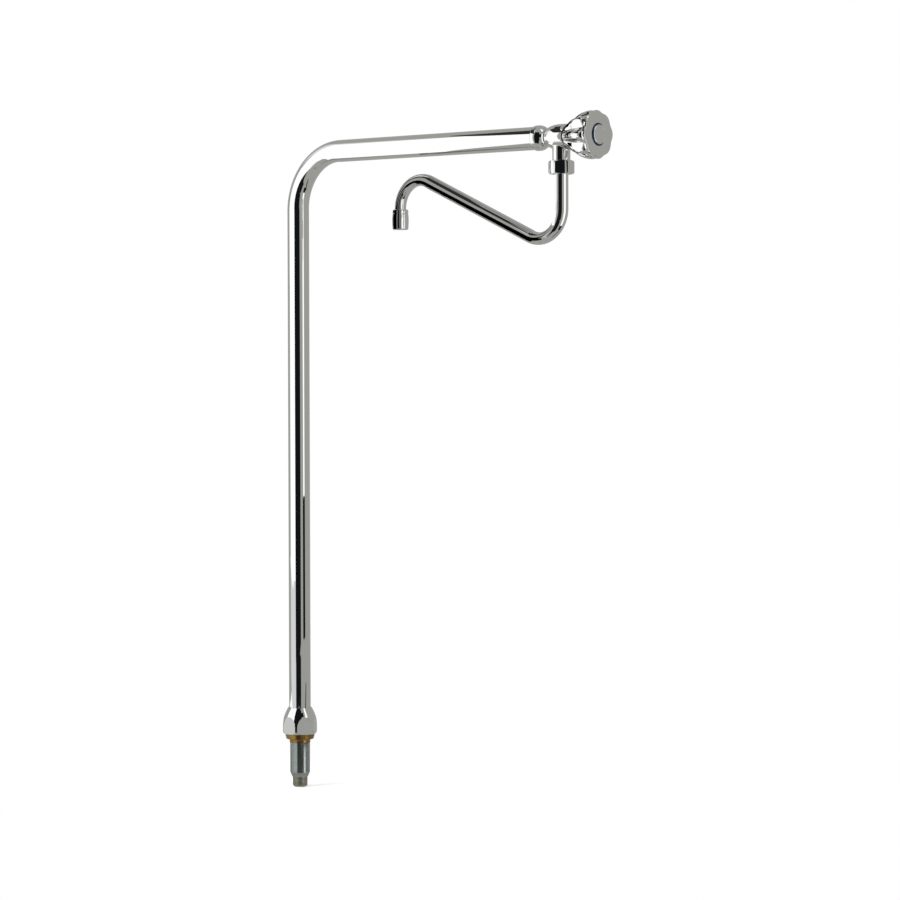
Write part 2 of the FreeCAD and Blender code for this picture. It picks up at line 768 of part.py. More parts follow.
def lobed_wire(height, crest, valley):
    """Closed wave round the axis: one crest and one flute for each lobe."""
    height, crest, valley = value(height), value(crest), value(valley)
    lobes, phase = round(value("lobe_count")), math.radians(value("lobe_angle"))
    steps = lobes * 6
    points = []
    for step in range(steps):
        angle = 2 * math.pi * step / steps + phase
        radius = valley + (crest - valley) * (1 + math.cos(lobes * (angle - phase))) / 2
        points.append(FreeCAD.Vector(radius * math.cos(angle), radius * math.sin(angle), height))
    curve = Part.BSplineCurve()
    curve.interpolate(points, PeriodicFlag=True)
    return Part.Wire(curve.toShape())


# Handle: a lobed casting whose flutes run out under a scalloped face plate, bored from both ends
handle_back = "(barrel_front + handle_gap)"
skirt_radius = f"({valve_neck_radius} + skirt_gap)"
plate_back = f"({handle_back} + tuck_height)"
plate_rim = f"({plate_back} + plate_edge)"
handle_face = f"({plate_rim} + plate_bevel)"
body_stations = [
    lobed_wire(f"{handle_back} + {name}_height", f"{skirt_radius} + {name}_crest", f"{skirt_radius} + {name}_valley")
    for name in LOBE_STATIONS
]
plate_stations = [
    lobed_wire(height, f"{skirt_radius} + plate_crest - {bevel}", f"{skirt_radius} + plate_valley - {bevel}")
    for height, bevel in ((plate_back, "0"), (plate_rim, "0"), (handle_face, "plate_bevel"))
]
casting = doc.addObject("Part::Feature", "handle_casting")
casting.Shape = Part.makeLoft(body_stations, True).fuse(Part.makeLoft(plate_stations, True, True))
handle = new_body("handle")
handle.BaseFeature = casting
hub_low = f"({spline_start} + fit_gap)"
turn(handle, "handle_shell", [
    ("0", f"{handle_back} - 2"),
    (skirt_radius, f"{handle_back} - 2"),
    (skirt_radius, handle_back),
    (f"{skirt_radius} + shell_flare", f"{handle_back} + shell_depth"),
    ("hub_radius", f"{handle_back} + shell_depth"),
    ("hub_radius", hub_low),
    ("0", hub_low),
], cut=True)
screw_face = f"({spline_end} + screw_seat)"
recess_floor = f"({handle_face} - index_recess)"
plug_end = f"({screw_face} + screw_head + index_plug_gap)"
plug_bore = "(index_plug_radius + fit_gap)"
turn(handle, "handle_centre", [
    ("0", f"{hub_low} - 1"),
    (f"{spline_radius} + fit_gap / 2", f"{hub_low} - 1"),
    (f"{spline_radius} + fit_gap / 2", f"{spline_end} + fit_gap"),
    (screw_bore, f"{spline_end} + fit_gap"),
    (screw_bore, screw_face),
    ("screw_head_radius + free_gap", screw_face),
    ("screw_head_radius + free_gap", plug_end),
    (plug_bore, plug_end),
    (plug_bore, recess_floor),
    ("index_ring_radius + fit_gap", recess_floor),
    ("index_ring_radius + fit_gap", f"{handle_face} + 1"),
    ("0", f"{handle_face} + 1"),
], cut=True)
place(handle, along_arm=True)
handle_screw = turned("handle_screw", [
    ("0", f"{screw_bore_low} + 1"),
    ("handle_screw_radius", f"{screw_bore_low} + 1"),
    ("handle_screw_radius", screw_face),
    ("screw_head_radius", screw_face),
    ("screw_head_radius", f"{screw_face} + screw_head"),
    ("0", f"{screw_face} + screw_head"),
])
place(handle_screw, along_arm=True)

# Index: a blue ring round a raised cap that is pressed over the screw
index_ring = ring(
    "index_ring", "index_ring_radius - index_ring_width", "index_ring_radius", recess_floor,
    f"{handle_face} + index_ring_proud",
)
place(index_ring, along_arm=True)
cap_radius = "(index_ring_radius - index_ring_width - fit_gap)"
index_cap = turned("index_cap", [
    ("0", plug_end),
    ("index_plug_radius", plug_end),
    ("index_plug_radius", recess_floor),
    (cap_radius, recess_floor),
    (cap_radius, f"{handle_face} + index_cap_rise - index_cap_round", "index_cap_round", 1),
    (f"{cap_radius} - index_cap_round", f"{handle_face} + index_cap_rise"),
    ("0", f"{handle_face} + index_cap_rise"),
])
place(index_cap, along_arm=True)

# Spout nut: hexagonal, rounded at both ends, screwed to the branch
bush_collar_high = f"({branch_length} + spout_slide_ring)"
tube_top = f"({bush_collar_high} + bush_collar)"
spout_nut_flats = f"(2 * ({branch_thread_radius} + spout_nut_wall))"
spout_nut_corner = f"({spout_nut_flats} / 2 / cos(30))"
nut_floor_height = f"({tube_top} + spout_retaining_ring + thread_gap)"
spout_nut_low = f"({nut_floor_height} + spout_nut_floor)"
spout_nut = turned("spout_nut", upside_down([
    (f"{branch_thread_radius} + thread_gap", "branch_shoulder"),
    (f"{spout_nut_corner} - spout_nut_round", "branch_shoulder", "spout_nut_round", -1),
    (spout_nut_corner, "branch_shoulder + spout_nut_round"),
    (spout_nut_corner, f"{spout_nut_low} - spout_nut_round", "spout_nut_round", -1),
    (f"{spout_nut_corner} - spout_nut_round", spout_nut_low),
    ("spout_radius + free_gap", spout_nut_low),
    ("spout_radius + free_gap", nut_floor_height),
    (f"{branch_thread_radius} + thread_gap", nut_floor_height),
]))
mill_flats(spout_nut, spout_nut_flats, spout_nut_corner, "spout_nut_angle")
place(spout_nut, at_outlet=True)

# Bush: turned end of the spout, held between the branch and the nut's floor, with two sealing rings
ring_outer = f"({branch_thread_radius} - free_gap)"
spout_ring_first = f"({branch_length} - spout_ring_depth)"
bush_groove_root = "(spout_radius - 2 * spout_ring_section - fit_gap)"
spout_bush = turned("spout_bush", upside_down([
    ("bush_bore", bush_top),
    ("spout_radius", bush_top),
    *grooves("spout_radius", bush_groove_root, "spout_ring_groove", spout_ring_first, "spout_ring_pitch"),
    ("spout_radius", bush_collar_high),
    (f"{ring_outer} - fit_gap", bush_collar_high),
    (f"{ring_outer} - fit_gap", tube_top),
    ("spout_radius - spout_wall - fit_gap", tube_top),
    ("spout_radius - spout_wall - fit_gap", f"{tube_top} + bush_plug_length"),
    ("bush_bore", f"{tube_top} + bush_plug_length"),
]))
place(spout_bush, at_outlet=True)
spout_o_rings = sealing_rings(
    "spout_o_rings", f"{bush_groove_root} + thread_gap / 2", "spout_ring_section - fit_gap",
    f"-{spout_ring_first}", "-spout_ring_pitch",
)
place(spout_o_rings, at_outlet=True)
spout_slide_ring = ring(
    "spout_slide_ring", "spout_radius + 3 * fit_gap", ring_outer, f"-{bush_collar_high}", f"-{branch_length}"
)
place(spout_slide_ring, at_outlet=True)
spout_retaining_ring = ring(
    "spout_retaining_ring", "spout_radius + free_gap + fit_gap", ring_outer,
    f"-({tube_top} + spout_retaining_ring)", f"-{tube_top}",
)
place(spout_retaining_ring, at_outlet=True)

# Spout: one tube with two bends, folded back under the arm
slope = "((spout_low - spout_high) / spout_reach)"
slope_length = f"sqrt(1 + {slope}^2)"
bend_share = f"({slope_length} + {slope})"
low_run = f"(spout_bend * {bend_share} / {slope_length})"
high_run = f"(nozzle_bend * {bend_share} / {slope_length})"
nozzle_top = f"(spout_high + nozzle_bend * {bend_share} + fit_gap)"
nozzle_thread_end = f"({nozzle_top} + ferrule_height + ferrule_thread)"
spout_tube = bent_tube(
    "spout_tube",
    [
        ("0", f"-{tube_top}"),
        ("0", f"-(spout_low - spout_bend * {bend_share})", "spout_bend", -1),
        (f"-{low_run}", f"-(spout_low - {slope} * {low_run})"),
        (f"-(spout_reach - {high_run})", f"-(spout_high + {slope} * {high_run})", "nozzle_bend", 1),
        ("-spout_reach", f"-(spout_high + nozzle_bend * {bend_share})"),
        ("-spout_reach", f"-{nozzle_thread_end}"),
    ],
    f"-{tube_top}", "spout_radius", "spout_wall",
)
place(spout_tube, at_outlet=True)


def at_nozzle(label, corners):
    """Piece turned about the nozzle's axis, its heights measured down from the arm's axis."""
    body = turned(label, upside_down(corners))
    body.setExpression(".Placement.Base.x", bound("outlet_reach - spout_reach"))
    body.setExpression(".Placement.Base.z", bound("axis_up"))
    pieces.append(body)
    return body


# Ferrule: domed piece brazed on the spout's end, with the thread for the aerator
ferrule_low = f"({nozzle_top} + ferrule_height)"
ferrule_thread_radius = "(spout_radius + ferrule_wall)"
ferrule_radius = f"({ferrule_thread_radius} + ferrule_step)"
dome_width = f"({ferrule_radius} - spout_radius - 2 * free_gap)"
at_nozzle("aerator_ferrule", [
    ("spout_radius + fit_gap", nozzle_top),
    (
        "spout_radius + 2 * free_gap", nozzle_top,
        f"({dome_width}^2 + ferrule_dome^2) / 2 / {dome_width}", -1,
    ),
    (ferrule_radius, f"{nozzle_top} + ferrule_dome"),
    (ferrule_radius, ferrule_low),
    (ferrule_thread_radius, ferrule_low),
    (ferrule_thread_radius, nozzle_thread_end),
    ("spout_radius + fit_gap", nozzle_thread_end),
])

# Aerator: screwed housing, sealing ring, and the plastic insert with its ring of jets
housing_top = f"({ferrule_low} + housing_gap)"
housing_low = f"({housing_top} + housing_height)"
gasket_low = f"({nozzle_thread_end} + aerator_gasket)"
insert_low = f"({housing_low} - housing_lip)"
belly_half = "((housing_height - housing_round) / 2)"
housing_radius = f"({ferrule_thread_radius} + housing_wall)"
housing_bore = f"({ferrule_thread_radius} - housing_recess)"
at_nozzle("aerator_housing", [
    (f"{ferrule_thread_radius} + thread_gap", housing_top),
    (housing_radius, housing_top, f"({belly_half}^2 + housing_belly^2) / 2 / housing_belly", -1),
    (housing_radius, f"{housing_low} - housing_round", "housing_round", -1),
    (f"{housing_radius} - housing_round", housing_low),
    (f"{housing_bore} - mouth_lip", housing_low),
    (f"{housing_bore} - mouth_lip", insert_low),
    (housing_bore, insert_low),
    (housing_bore, gasket_low),
    (f"{ferrule_thread_radius} + thread_gap", gasket_low),
])
at_nozzle("aerator_gasket", [
    ("aerator_gasket_bore", nozzle_thread_end),
    (f"{ferrule_thread_radius} - thread_gap", nozzle_thread_end),
    (f"{ferrule_thread_radius} - thread_gap", gasket_low),
    ("aerator_gasket_bore", gasket_low),
])
insert_radius = f"({housing_bore} - thread_gap)"
aerator_insert = at_nozzle("aerator_insert", [
    ("0", f"{gasket_low} + insert_cup"),
    ("aerator_gasket_bore", f"{gasket_low} + insert_cup"),
    ("aerator_gasket_bore", gasket_low),
    (insert_radius, gasket_low),
    (insert_radius, insert_low),
    ("aerator_gasket_bore + 1", insert_low),
    ("aerator_gasket_bore + 1", f"{gasket_low} + insert_cup + insert_plate"),
    ("0", f"{gasket_low} + insert_cup + insert_plate"),
])
jet_sketch = new_sketch(aerator_insert, "jet_circle", "XY_Plane")
draw_circle(jet_sketch, "jet_radius", "jet_ring")
doc.recompute()
jet = aerator_insert.newObject("PartDesign::Pocket", "jet")
jet.Profile = jet_sketch
jet.Type = "ThroughAll"
jet.Midplane = True
doc.recompute()
jets = aerator_insert.newObject("PartDesign::PolarPattern", "jets")
jets.Originals = [jet]
jets.Axis = (jet_sketch, ["N_Axis"])
jets.Angle = 360
jets.setExpression("Occurrences", bound("jet_count"))
aerator_insert.Tip = jets

doc.recompute()
failed = [item.Name for item in doc.Objects if {"Invalid", "Error"} & set(item.State)]
bad_shapes = [piece.Name for piece in pieces if piece.Shape.isNull() or not piece.Shape.isValid()]
if failed or bad_shapes:
    raise RuntimeError(f"failed features {failed}, bad shapes {bad_shapes}")
os.makedirs("parts", exist_ok=True)
for piece in pieces:
    piece.Shape.exportStep(os.path.join("parts", f"{piece.Label}.step"))
print(f"{len(pieces)} pieces written")
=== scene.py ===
"""Swivel pillar tap as photographed: chromed tubes on a brass base, a lobed handle, an S-shaped spout."""

import math

import bmesh
import bpy
from mathutils import Matrix, Vector


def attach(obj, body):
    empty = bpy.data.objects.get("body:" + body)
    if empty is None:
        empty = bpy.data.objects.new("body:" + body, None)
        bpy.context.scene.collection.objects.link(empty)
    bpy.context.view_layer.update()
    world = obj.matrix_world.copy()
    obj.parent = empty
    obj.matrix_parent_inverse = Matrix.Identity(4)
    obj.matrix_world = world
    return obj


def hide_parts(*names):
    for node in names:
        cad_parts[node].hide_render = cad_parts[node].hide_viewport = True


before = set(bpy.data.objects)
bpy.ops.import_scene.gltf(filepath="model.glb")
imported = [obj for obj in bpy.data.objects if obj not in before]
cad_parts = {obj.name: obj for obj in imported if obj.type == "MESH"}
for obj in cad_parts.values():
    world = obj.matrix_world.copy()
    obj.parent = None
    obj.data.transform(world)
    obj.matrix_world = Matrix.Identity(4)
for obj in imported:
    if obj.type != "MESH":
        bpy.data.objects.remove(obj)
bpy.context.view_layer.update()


# Camera: a long lens about four metres away, level with the upper half of the pillar, so that
# the pillar stands upright at the left and the arm comes forward to the right.
camera_spot = Vector((2.762, -2.967, 0.526))
camera_yaw = math.radians(39.98)
camera_pitch = math.radians(-1.75)
camera_roll = math.radians(-0.11)
camera_right = Vector((math.cos(camera_yaw), math.sin(camera_yaw), 0))
camera_level = Vector((-math.sin(camera_yaw), math.cos(camera_yaw), 0))
camera_ahead = math.cos(camera_pitch) * camera_level + math.sin(camera_pitch) * Vector((0, 0, 1))
camera_above = math.cos(camera_pitch) * Vector((0, 0, 1)) - math.sin(camera_pitch) * camera_level
turned_right = math.cos(camera_roll) * camera_right + math.sin(camera_roll) * camera_above
turned_above = math.cos(camera_roll) * camera_above - math.sin(camera_roll) * camera_right
lens = bpy.data.cameras.new("photo_camera")
lens.lens = 116.4
lens.sensor_width = 36
lens.clip_end = 50
camera = bpy.data.objects.new("photo_camera", lens)
bpy.context.scene.collection.objects.link(camera)
camera.matrix_world = Matrix.Translation(camera_spot) @ Matrix(
    (turned_right, turned_above, -camera_ahead)
).transposed().to_4x4()
bpy.context.scene.camera = camera
bpy.context.scene.view_settings.view_transform = "Standard"


# Studio: plain soft light from two large lamps and an even surround. The surround itself shows
# white to the camera and in glass or metal.
def linear(text):
    """Linear colour with alpha from an sRGB hex value."""
    parts = [int(text[start:start + 2], 16) / 255 for start in (1, 3, 5)]
    levels = [part / 12.92 if part <= 0.04045 else ((part + 0.055) / 1.055) ** 2.4 for part in parts]
    return levels + [1.0]


def add_node(tree, kind, inputs, **settings):
    """Adds a node. Each input takes a value, or (node, output) that it is linked from."""
    node = tree.nodes.new("ShaderNode" + kind)
    for setting, value in settings.items():
        setattr(node, setting, value)
    for socket, source in inputs.items():
        if isinstance(source, tuple) and isinstance(source[0], bpy.types.Node):
            tree.links.new(source[0].outputs[source[1]], node.inputs[socket])
        else:
            node.inputs[socket].default_value = source
    return node


def straight_view(tree):
    """Node that is one where the camera looks, straight on or by way of gloss or glass, else zero."""
    ray = add_node(tree, "LightPath", {})
    mirrored = add_node(
        tree, "Math", {0: (ray, "Is Camera Ray"), 1: (ray, "Is Glossy Ray")}, operation="MAXIMUM"
    )
    return add_node(tree, "Math", {0: (mirrored, 0), 1: (ray, "Is Transmission Ray")}, operation="MAXIMUM")


white = linear("#FFFFFF")
world = bpy.data.worlds.new("studio")
bpy.context.scene.world = world
world.use_nodes = True
air = world.node_tree
air.nodes.clear()
shown = straight_view(air)
soft_level = add_node(air, "Background", {"Color": white, "Strength": 0.55})
white_level = add_node(air, "Background", {"Color": white, "Strength": 1.0})
either = add_node(air, "MixShader", {"Fac": (shown, 0), 1: (soft_level, 0), 2: (white_level, 0)})
add_node(air, "OutputWorld", {"Surface": (either, 0)})


def add_lamp(name, spot, aim, width, height, watts):
    """Soft rectangular lamp that shines from spot to aim, in metres."""
    light = bpy.data.lights.new(name, "AREA")
    light.shape = "RECTANGLE"
    light.size = width
    light.size_y = height
    light.energy = watts
    lamp = bpy.data.objects.new(name, light)
    lamp.location = spot
    lamp.rotation_euler = (Vector(aim) - Vector(spot)).to_track_quat("-Z", "Y").to_euler()
    lamp.visible_camera = False
    lamp.visible_glossy = False
    bpy.context.scene.collection.objects.link(lamp)


lamp_aim = (0.2, 0, 0.4)
add_lamp("key_lamp", (-0.7, -2.1, 1.7), lamp_aim, width=1.6, height=1.6, watts=52)
add_lamp("fill_lamp", (2.6, -0.9, 1.2), lamp_aim, width=1.4, height=1.6, watts=26)


# Cards: papers and cloths on stands round the tap, which polished chrome mirrors. Only glossy
# rays see them, so they neither hide the tap nor cast a shadow.
def mesh_piece(name, forms):
    """One mesh object from forms of (points in mm, faces)."""
    points, faces = [], []
    for form_points, form_faces in forms:
        faces += [[corner + len(points) for corner in face] for face in form_faces]
        points += [(x / 1000, y / 1000, z / 1000) for x, y, z in form_points]
    mesh = bpy.data.meshes.new(name)
    mesh.from_pydata(points, [], faces)
    mesh.update()
    piece = bpy.data.objects.new(name, mesh)
    bpy.context.scene.collection.objects.link(piece)
    return piece


def empty_material(name):
    """New material whose nodes are still to come."""
    material = bpy.data.materials.new(name)
    material.use_nodes = True
    material.node_tree.nodes.clear()
    return material


def paper(name, color, level):
    """Evenly lit paper of that colour and brightness."""
    sheet = empty_material(name)
    glow = add_node(sheet.node_tree, "Emission", {"Color": linear(color), "Strength": level})
    add_node(sheet.node_tree, "OutputMaterial", {"Surface": (glow, 0)})
    return sheet


def add_panels(name, *panels):
    """Card of flat panels, each (corners in mm, paper), mirrored by gloss and seen by nothing else."""
    card = mesh_piece(name, [(corners, [list(range(len(corners)))]) for corners, _ in panels])
    for number, (_, sheet) in enumerate(panels):
        card.data.materials.append(sheet)
        card.data.polygons[number].material_index = number
    card.visible_camera = False
    card.visible_diffuse = False
    card.visible_transmission = False
    card.visible_volume_scatter = False
    card.visible_shadow = False
    return card


def upright(start, end, low, high):
    """Corners of an upright panel over the line from start to end in plan, in mm."""
    return [(*start, low), (*end, low), (*end, high), (*start, high)]


def upright_card(name, start, end, low, high, sheet):
    """Card of one upright panel."""
    return add_panels(name, (upright(start, end, low, high), sheet))


def level_card(name, plan, height, sheet):
    """Card of one level panel, over corners in plan."""
    return add_panels(name, ([(*corner, height) for corner in plan], sheet))


def oblong(near, far):
    """Corners in plan of an oblong between two opposite corners."""
    return [near, (far[0], near[1]), far, (near[0], far[1])]


# Papers give the chrome its whites and greys, and cloths its dark bands. The bright paper stands
# for a lamp's edge, and the light and dim ones for white paper further from the lamps.
bright_paper = paper("bright_strip_paper", "#FFFFFF", 2.1)
white_paper = paper("white_card_paper", "#FFFFFF", 1.4)
light_paper = paper("light_card_paper", "#FFFFFF", 0.88)
full_paper = paper("full_card_paper", "#FFFFFF", 1.0)
dim_paper = paper("dim_card_paper", "#E1E1DE", 1.0)
grey_paper = paper("grey_backdrop_paper", "#B1B1AD", 1.0)
black_cloth = paper("black_flag_cloth", "#16191A", 1.0)
dark_cloth = paper("dark_boom_cloth", "#303432", 1.0)
slate_cloth = paper("slate_flag_cloth", "#60625F", 1.0)

# Heights of the room's edges and of what lies on its floor, and corners that two cards share.
room_low = -1500
room_high = 2600
on_floor = -66
on_foot_card = -65
white_near = (5, -680)
white_far = (-1300, -660)
left_corner = (-2100, 0)
back_left_corner = (-1700, 1500)
flag_left = (0, -1720)
flag_right = (1560, -1220)
right_front_corner = (1750, -1150)

# The white card gives the broad white band down the pillar and along the arm. The near one
# lights the inside of the pillar's bend and the left edges of the valve and the spout's nut.
white_card_low = 170
white_card_high = 2200
white_cards = [
    upright_card("white_card", white_near, white_far, white_card_low, white_card_high, white_paper),
    upright_card("white_card_foot", white_near, white_far, -900, white_card_low, light_paper),
]
near_white_card = upright_card("near_white_card", (-215, -112), (-60, -200), 640, 860, white_paper)

# The strip gives the thin white line beside the pillar's dark band, and its stand carries that
# line on in black. The flags give the dark band itself, also on the nuts, valve and spout.
strip_low = 300
upright_card("strip_card", (850, -60), (850, 180), strip_low, 2400, white_paper)
upright_card("strip_stand", (850, -130), (850, 230), 60, strip_low, black_cloth)
upright_card("black_flag", flag_left, flag_right, room_low, room_high, black_cloth)
upright_card("black_flag_side", flag_right, right_front_corner, room_low, room_high, black_cloth)
upright_card("black_flag_foot", (390, -880), (690, -700), on_floor, 110, black_cloth)

# The booms draw thin dark lines along the top of the arm and the slope of the spout.
boom_height = 1230
level_card("boom", oblong((-60, -620), (125, -60)), boom_height, dark_cloth)
level_card("boom_end", oblong((125, -620), (200, 80)), boom_height, dark_cloth)

# Cloths on the floor darken the undersides of the tubes' bends. The high flag adds small dark
# marks to the collar, valve and handle.
level_card("black_flag_floor", [
    (110, -1690), (1330, -1285), (1500, -1010), (760, -510), (520, -800), (60, -900),
], on_foot_card, black_cloth)
upright_card("black_flag_high", (1261, -985), (1530, -468), 900, 1500, black_cloth)
level_card("black_floor_cloth", [
    (500, -30), (760, 60), (1250, 380), (1200, 560), (760, 240), (500, 50),
], on_foot_card, black_cloth)

# Grey paper closes the room all round, above and below, and gives the grey edges.
left_card_top = 1500
left_card_high = upright_card(
    "left_card_high", white_far, left_corner, left_card_top, room_high, light_paper
)
left_cards = [
    upright_card("left_card", white_far, left_corner, room_low, left_card_top, grey_paper),
    upright_card("left_card_back", left_corner, back_left_corner, room_low, room_high, grey_paper),
]
tent = [right_front_corner, (2100, 0), (1700, 1500), (0, 2100), back_left_corner]
for panel, (start, end) in enumerate(zip(tent, tent[1:])):
    upright_card(f"grey_card_{panel}", start, end, room_low, room_high, grey_paper)
upright_card("grey_card_front", (-1300, -1500), flag_left, room_low, room_high, grey_paper)
level_card("top_card", oblong((-2100, -2100), (2100, 2100)), room_high, grey_paper)
level_card("foot_card", oblong((-450, -2100), (2100, 2100)), on_floor, grey_paper)
level_card("foot_card_left", oblong((-2100, -30), (-450, 2100)), on_floor, grey_paper)

# White paper on the floor and a shelf before the white card carry the arm's white band on
# downwards. These cards and the grey one above the white card are kept from the spout.
over_spout_cards = [
    upright_card("white_card_top", white_near, white_far, white_card_high, 2590, grey_paper),
    level_card("foot_card_front", oblong((-1000, -2100), (-450, -30)), on_floor, white_paper),
    level_card("foot_card_far", oblong((-2100, -2100), (-1000, -30)), on_floor, grey_paper),
    level_card("foot_card_shelf", oblong((-1150, -700), (-250, -470)), white_card_low, white_paper),
]


def bearing(angle, reach, across=0.0):
    """Point in plan at that bearing in degrees and that distance in mm from an upright axis."""
    return across + reach * math.cos(math.radians(angle)), reach * math.sin(math.radians(angle))


# Low cards stand round the foot: white and slate ones for the shank's bands, a bright strip for
# its highlight, and black ones for the dark band on the base nut and for the undersides.
near_foot = 140.0
foot_card_top = 27
for name, first, last, low, high, sheet in (
    ("foot_white", -116, -80, on_floor, foot_card_top, full_paper),
    ("foot_white_side", -152, -116, on_floor, foot_card_top, dim_paper),
    ("foot_flag", -78, -50, on_floor, -20, slate_cloth),
    ("foot_flag_right", -50, -20, on_floor, -20, slate_cloth),
    ("foot_flag_low", -20, -7, on_floor, -18, slate_cloth),
    ("foot_strip", -5, 16, on_floor, -27, bright_paper),
    ("foot_flag_nut", -84, -52, -20, foot_card_top, black_cloth),
    ("foot_flag_side", -6, 50, -22, -9, slate_cloth),
):
    upright_card(name, bearing(first, near_foot), bearing(last, near_foot), low, high, sheet)
flat_edge = 30
level_card("foot_flag_flat", [
    bearing(-78, flat_edge), bearing(-78, near_foot), bearing(-50, near_foot), bearing(-20, near_foot),
    bearing(-20, flat_edge),
], on_floor, black_cloth)


# Floor: boards under white studio paint. They lie level with the foot of the inlet tail, which
# stands on them and casts a soft shadow.
floor_height = -67.4
floor_edge = 6000
floor = mesh_piece("floor", [(
    [(*corner, floor_height) for corner in oblong((-floor_edge, -floor_edge), (floor_edge, floor_edge))],
    [[0, 1, 2, 3]],
)])

# White floor paint: near the tap it is lit and shows the shadow, and further off it fades into
# the plain white of the surround, so that no horizon shows.
shadow_reach = 0.12
plain_reach = 0.45
painted = empty_material("white_floor_paint")
floor_shown = straight_view(painted.node_tree)
floor_place = add_node(painted.node_tree, "TexCoord", {})
floor_reach = add_node(painted.node_tree, "VectorMath", {0: (floor_place, "Object")}, operation="LENGTH")
far_off = add_node(
    painted.node_tree, "MapRange",
    {"Value": (floor_reach, "Value"), "From Min": shadow_reach, "From Max": plain_reach},
    interpolation_type="SMOOTHSTEP",
)
white_share = add_node(
    painted.node_tree, "Math", {0: (far_off, 0), 1: (floor_shown, 0)}, operation="MULTIPLY"
)
floor_diffuse = add_node(painted.node_tree, "BsdfDiffuse", {"Color": linear("#F2F2F0")})
floor_lift = add_node(painted.node_tree, "Emission", {"Color": white, "Strength": 0.35})
floor_near = add_node(painted.node_tree, "AddShader", {0: (floor_diffuse, 0), 1: (floor_lift, 0)})
floor_white = add_node(painted.node_tree, "Emission", {"Color": white, "Strength": 1.0})
floor_mix = add_node(
    painted.node_tree, "MixShader", {"Fac": (white_share, 0), 1: (floor_near, 0), 2: (floor_white, 0)}
)
add_node(painted.node_tree, "OutputMaterial", {"Surface": (floor_mix, 0)})
floor.data.materials.append(painted)


# Flange body: brass turned on a lathe and left bare. It centres the tap in the deck hole, and
# the pillar's foot turns in its socket.
def corner_arc(before, corner, after, rounding):
    """Rounding of a corner: its centre, its spokes to where it starts and ends, and its sweep."""
    back = (Vector(before) - corner).normalized()
    ahead = (Vector(after) - corner).normalized()
    half = back.angle(ahead) / 2
    centre = corner + (back + ahead).normalized() * rounding / math.sin(half)
    first = corner + back * rounding / math.tan(half) - centre
    last = corner + ahead * rounding / math.tan(half) - centre
    return centre, first, last, math.pi - 2 * half


def rounded(corners, steps=5):
    """Outline through (radius, height, rounding) corners, each rounding drawn as a short arc."""
    outline = []
    for number, corner in enumerate(corners):
        here = Vector(corner[:2])
        if len(corner) == 2:
            outline.append(tuple(here))
            continue
        rounding = corner[2]
        after = corners[(number + 1) % len(corners)]
        centre, first, last, _ = corner_arc(corners[number - 1][:2], here, after[:2], rounding)
        for step in range(steps + 1):
            outline.append(tuple(centre + first.slerp(last, step / steps) * rounding))
    return outline


def on_pillar(across, aside, height):
    """Place on the pillar's axis, heights from the deck."""
    return across, aside, height


def ring_faces(rings, around, closed=True):
    """Faces between rings of points, the last ring joined up to the first if it is closed."""
    faces = []
    for ring in range(rings if closed else rings - 1):
        for step in range(around):
            low, high = ring * around, (ring + 1) % rings * around
            aside = (step + 1) % around
            faces.append([low + step, low + aside, high + aside, high + step])
    return faces


def turned(outline, place, around=128):
    """Form turned from a closed outline of (radius, height)."""
    points = []
    for radius, height in outline:
        for step in range(around):
            angle = 2 * math.pi * step / around
            points.append(place(radius * math.cos(angle), radius * math.sin(angle), height))
    return points, ring_faces(len(outline), around)


def finish_piece(piece, material, body, node, sharp=40):
    """Smooth shading with crisp edges, then the piece's material, body and CAD node."""
    mesh = piece.data
    mesh.shade_smooth()
    mesh.set_sharp_from_angle(angle=math.radians(sharp))
    weighted = piece.modifiers.new("even_shading", "WEIGHTED_NORMAL")
    weighted.keep_sharp = True
    mesh.materials.append(material)
    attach(piece, body)
    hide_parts(node)


# Bare turned brass: the one warm tone on the tap, an old gold clouded by handling, with fine
# rings from the lathe. The tool's marks are about a tenth of a millimetre apart on the real
# one, and are drawn coarser here, so that they show.
brass_cloud = 11.0
tool_mark_spacing = 0.75
tool_mark_depth = 0.06
brass = empty_material("turned_brass")
brass_place = add_node(brass.node_tree, "TexCoord", {})
brass_noise = add_node(brass.node_tree, "TexNoise", {
    "Vector": (brass_place, "Object"), "Scale": 1000 / brass_cloud, "Detail": 4.0, "Roughness": 0.6,
})
brass_tone = add_node(brass.node_tree, "ValToRGB", {"Fac": (brass_noise, "Fac")})
brass_tone.color_ramp.elements[0].color = linear("#8B6C3A")
brass_tone.color_ramp.elements[1].color = linear("#A1814B")
brass_rings = add_node(brass.node_tree, "TexWave", {
    "Vector": (brass_place, "Object"), "Scale": 100 * math.pi / tool_mark_spacing,
    "Distortion": 1.5, "Detail": 2.0,
}, bands_direction="Z")
brass_bump = add_node(brass.node_tree, "Bump", {
    "Height": (brass_rings, "Fac"), "Strength": 0.35, "Distance": tool_mark_depth / 1000,
})
brass_surface = add_node(brass.node_tree, "BsdfPrincipled", {
    "Base Color": (brass_tone, "Color"), "Metallic": 1.0, "Roughness": 0.27,
    "Normal": (brass_bump, "Normal"),
})
add_node(brass.node_tree, "OutputMaterial", {"Surface": (brass_surface, 0)})

bore = 6.5
flange = mesh_piece("flange_body_turned", [turned(rounded([
    (11.0, 27.0, 0.3), (17.4, 27.0, 0.4), (17.4, 6.7), (20.2, 6.7, 0.3), (20.2, 3.4, 0.3), (19.4, 3.4),
    (19.4, 0.8), (18.6, 0.0), (15.2, 0.0), (14.4, -1.2), (14.4, -5.0), (11.45, -5.0), (11.45, 7.05),
    (bore, 7.05), (bore, 8.0), (11.0, 8.0),
]), on_pillar)])
finish_piece(flange, brass, "base", "flange_body")


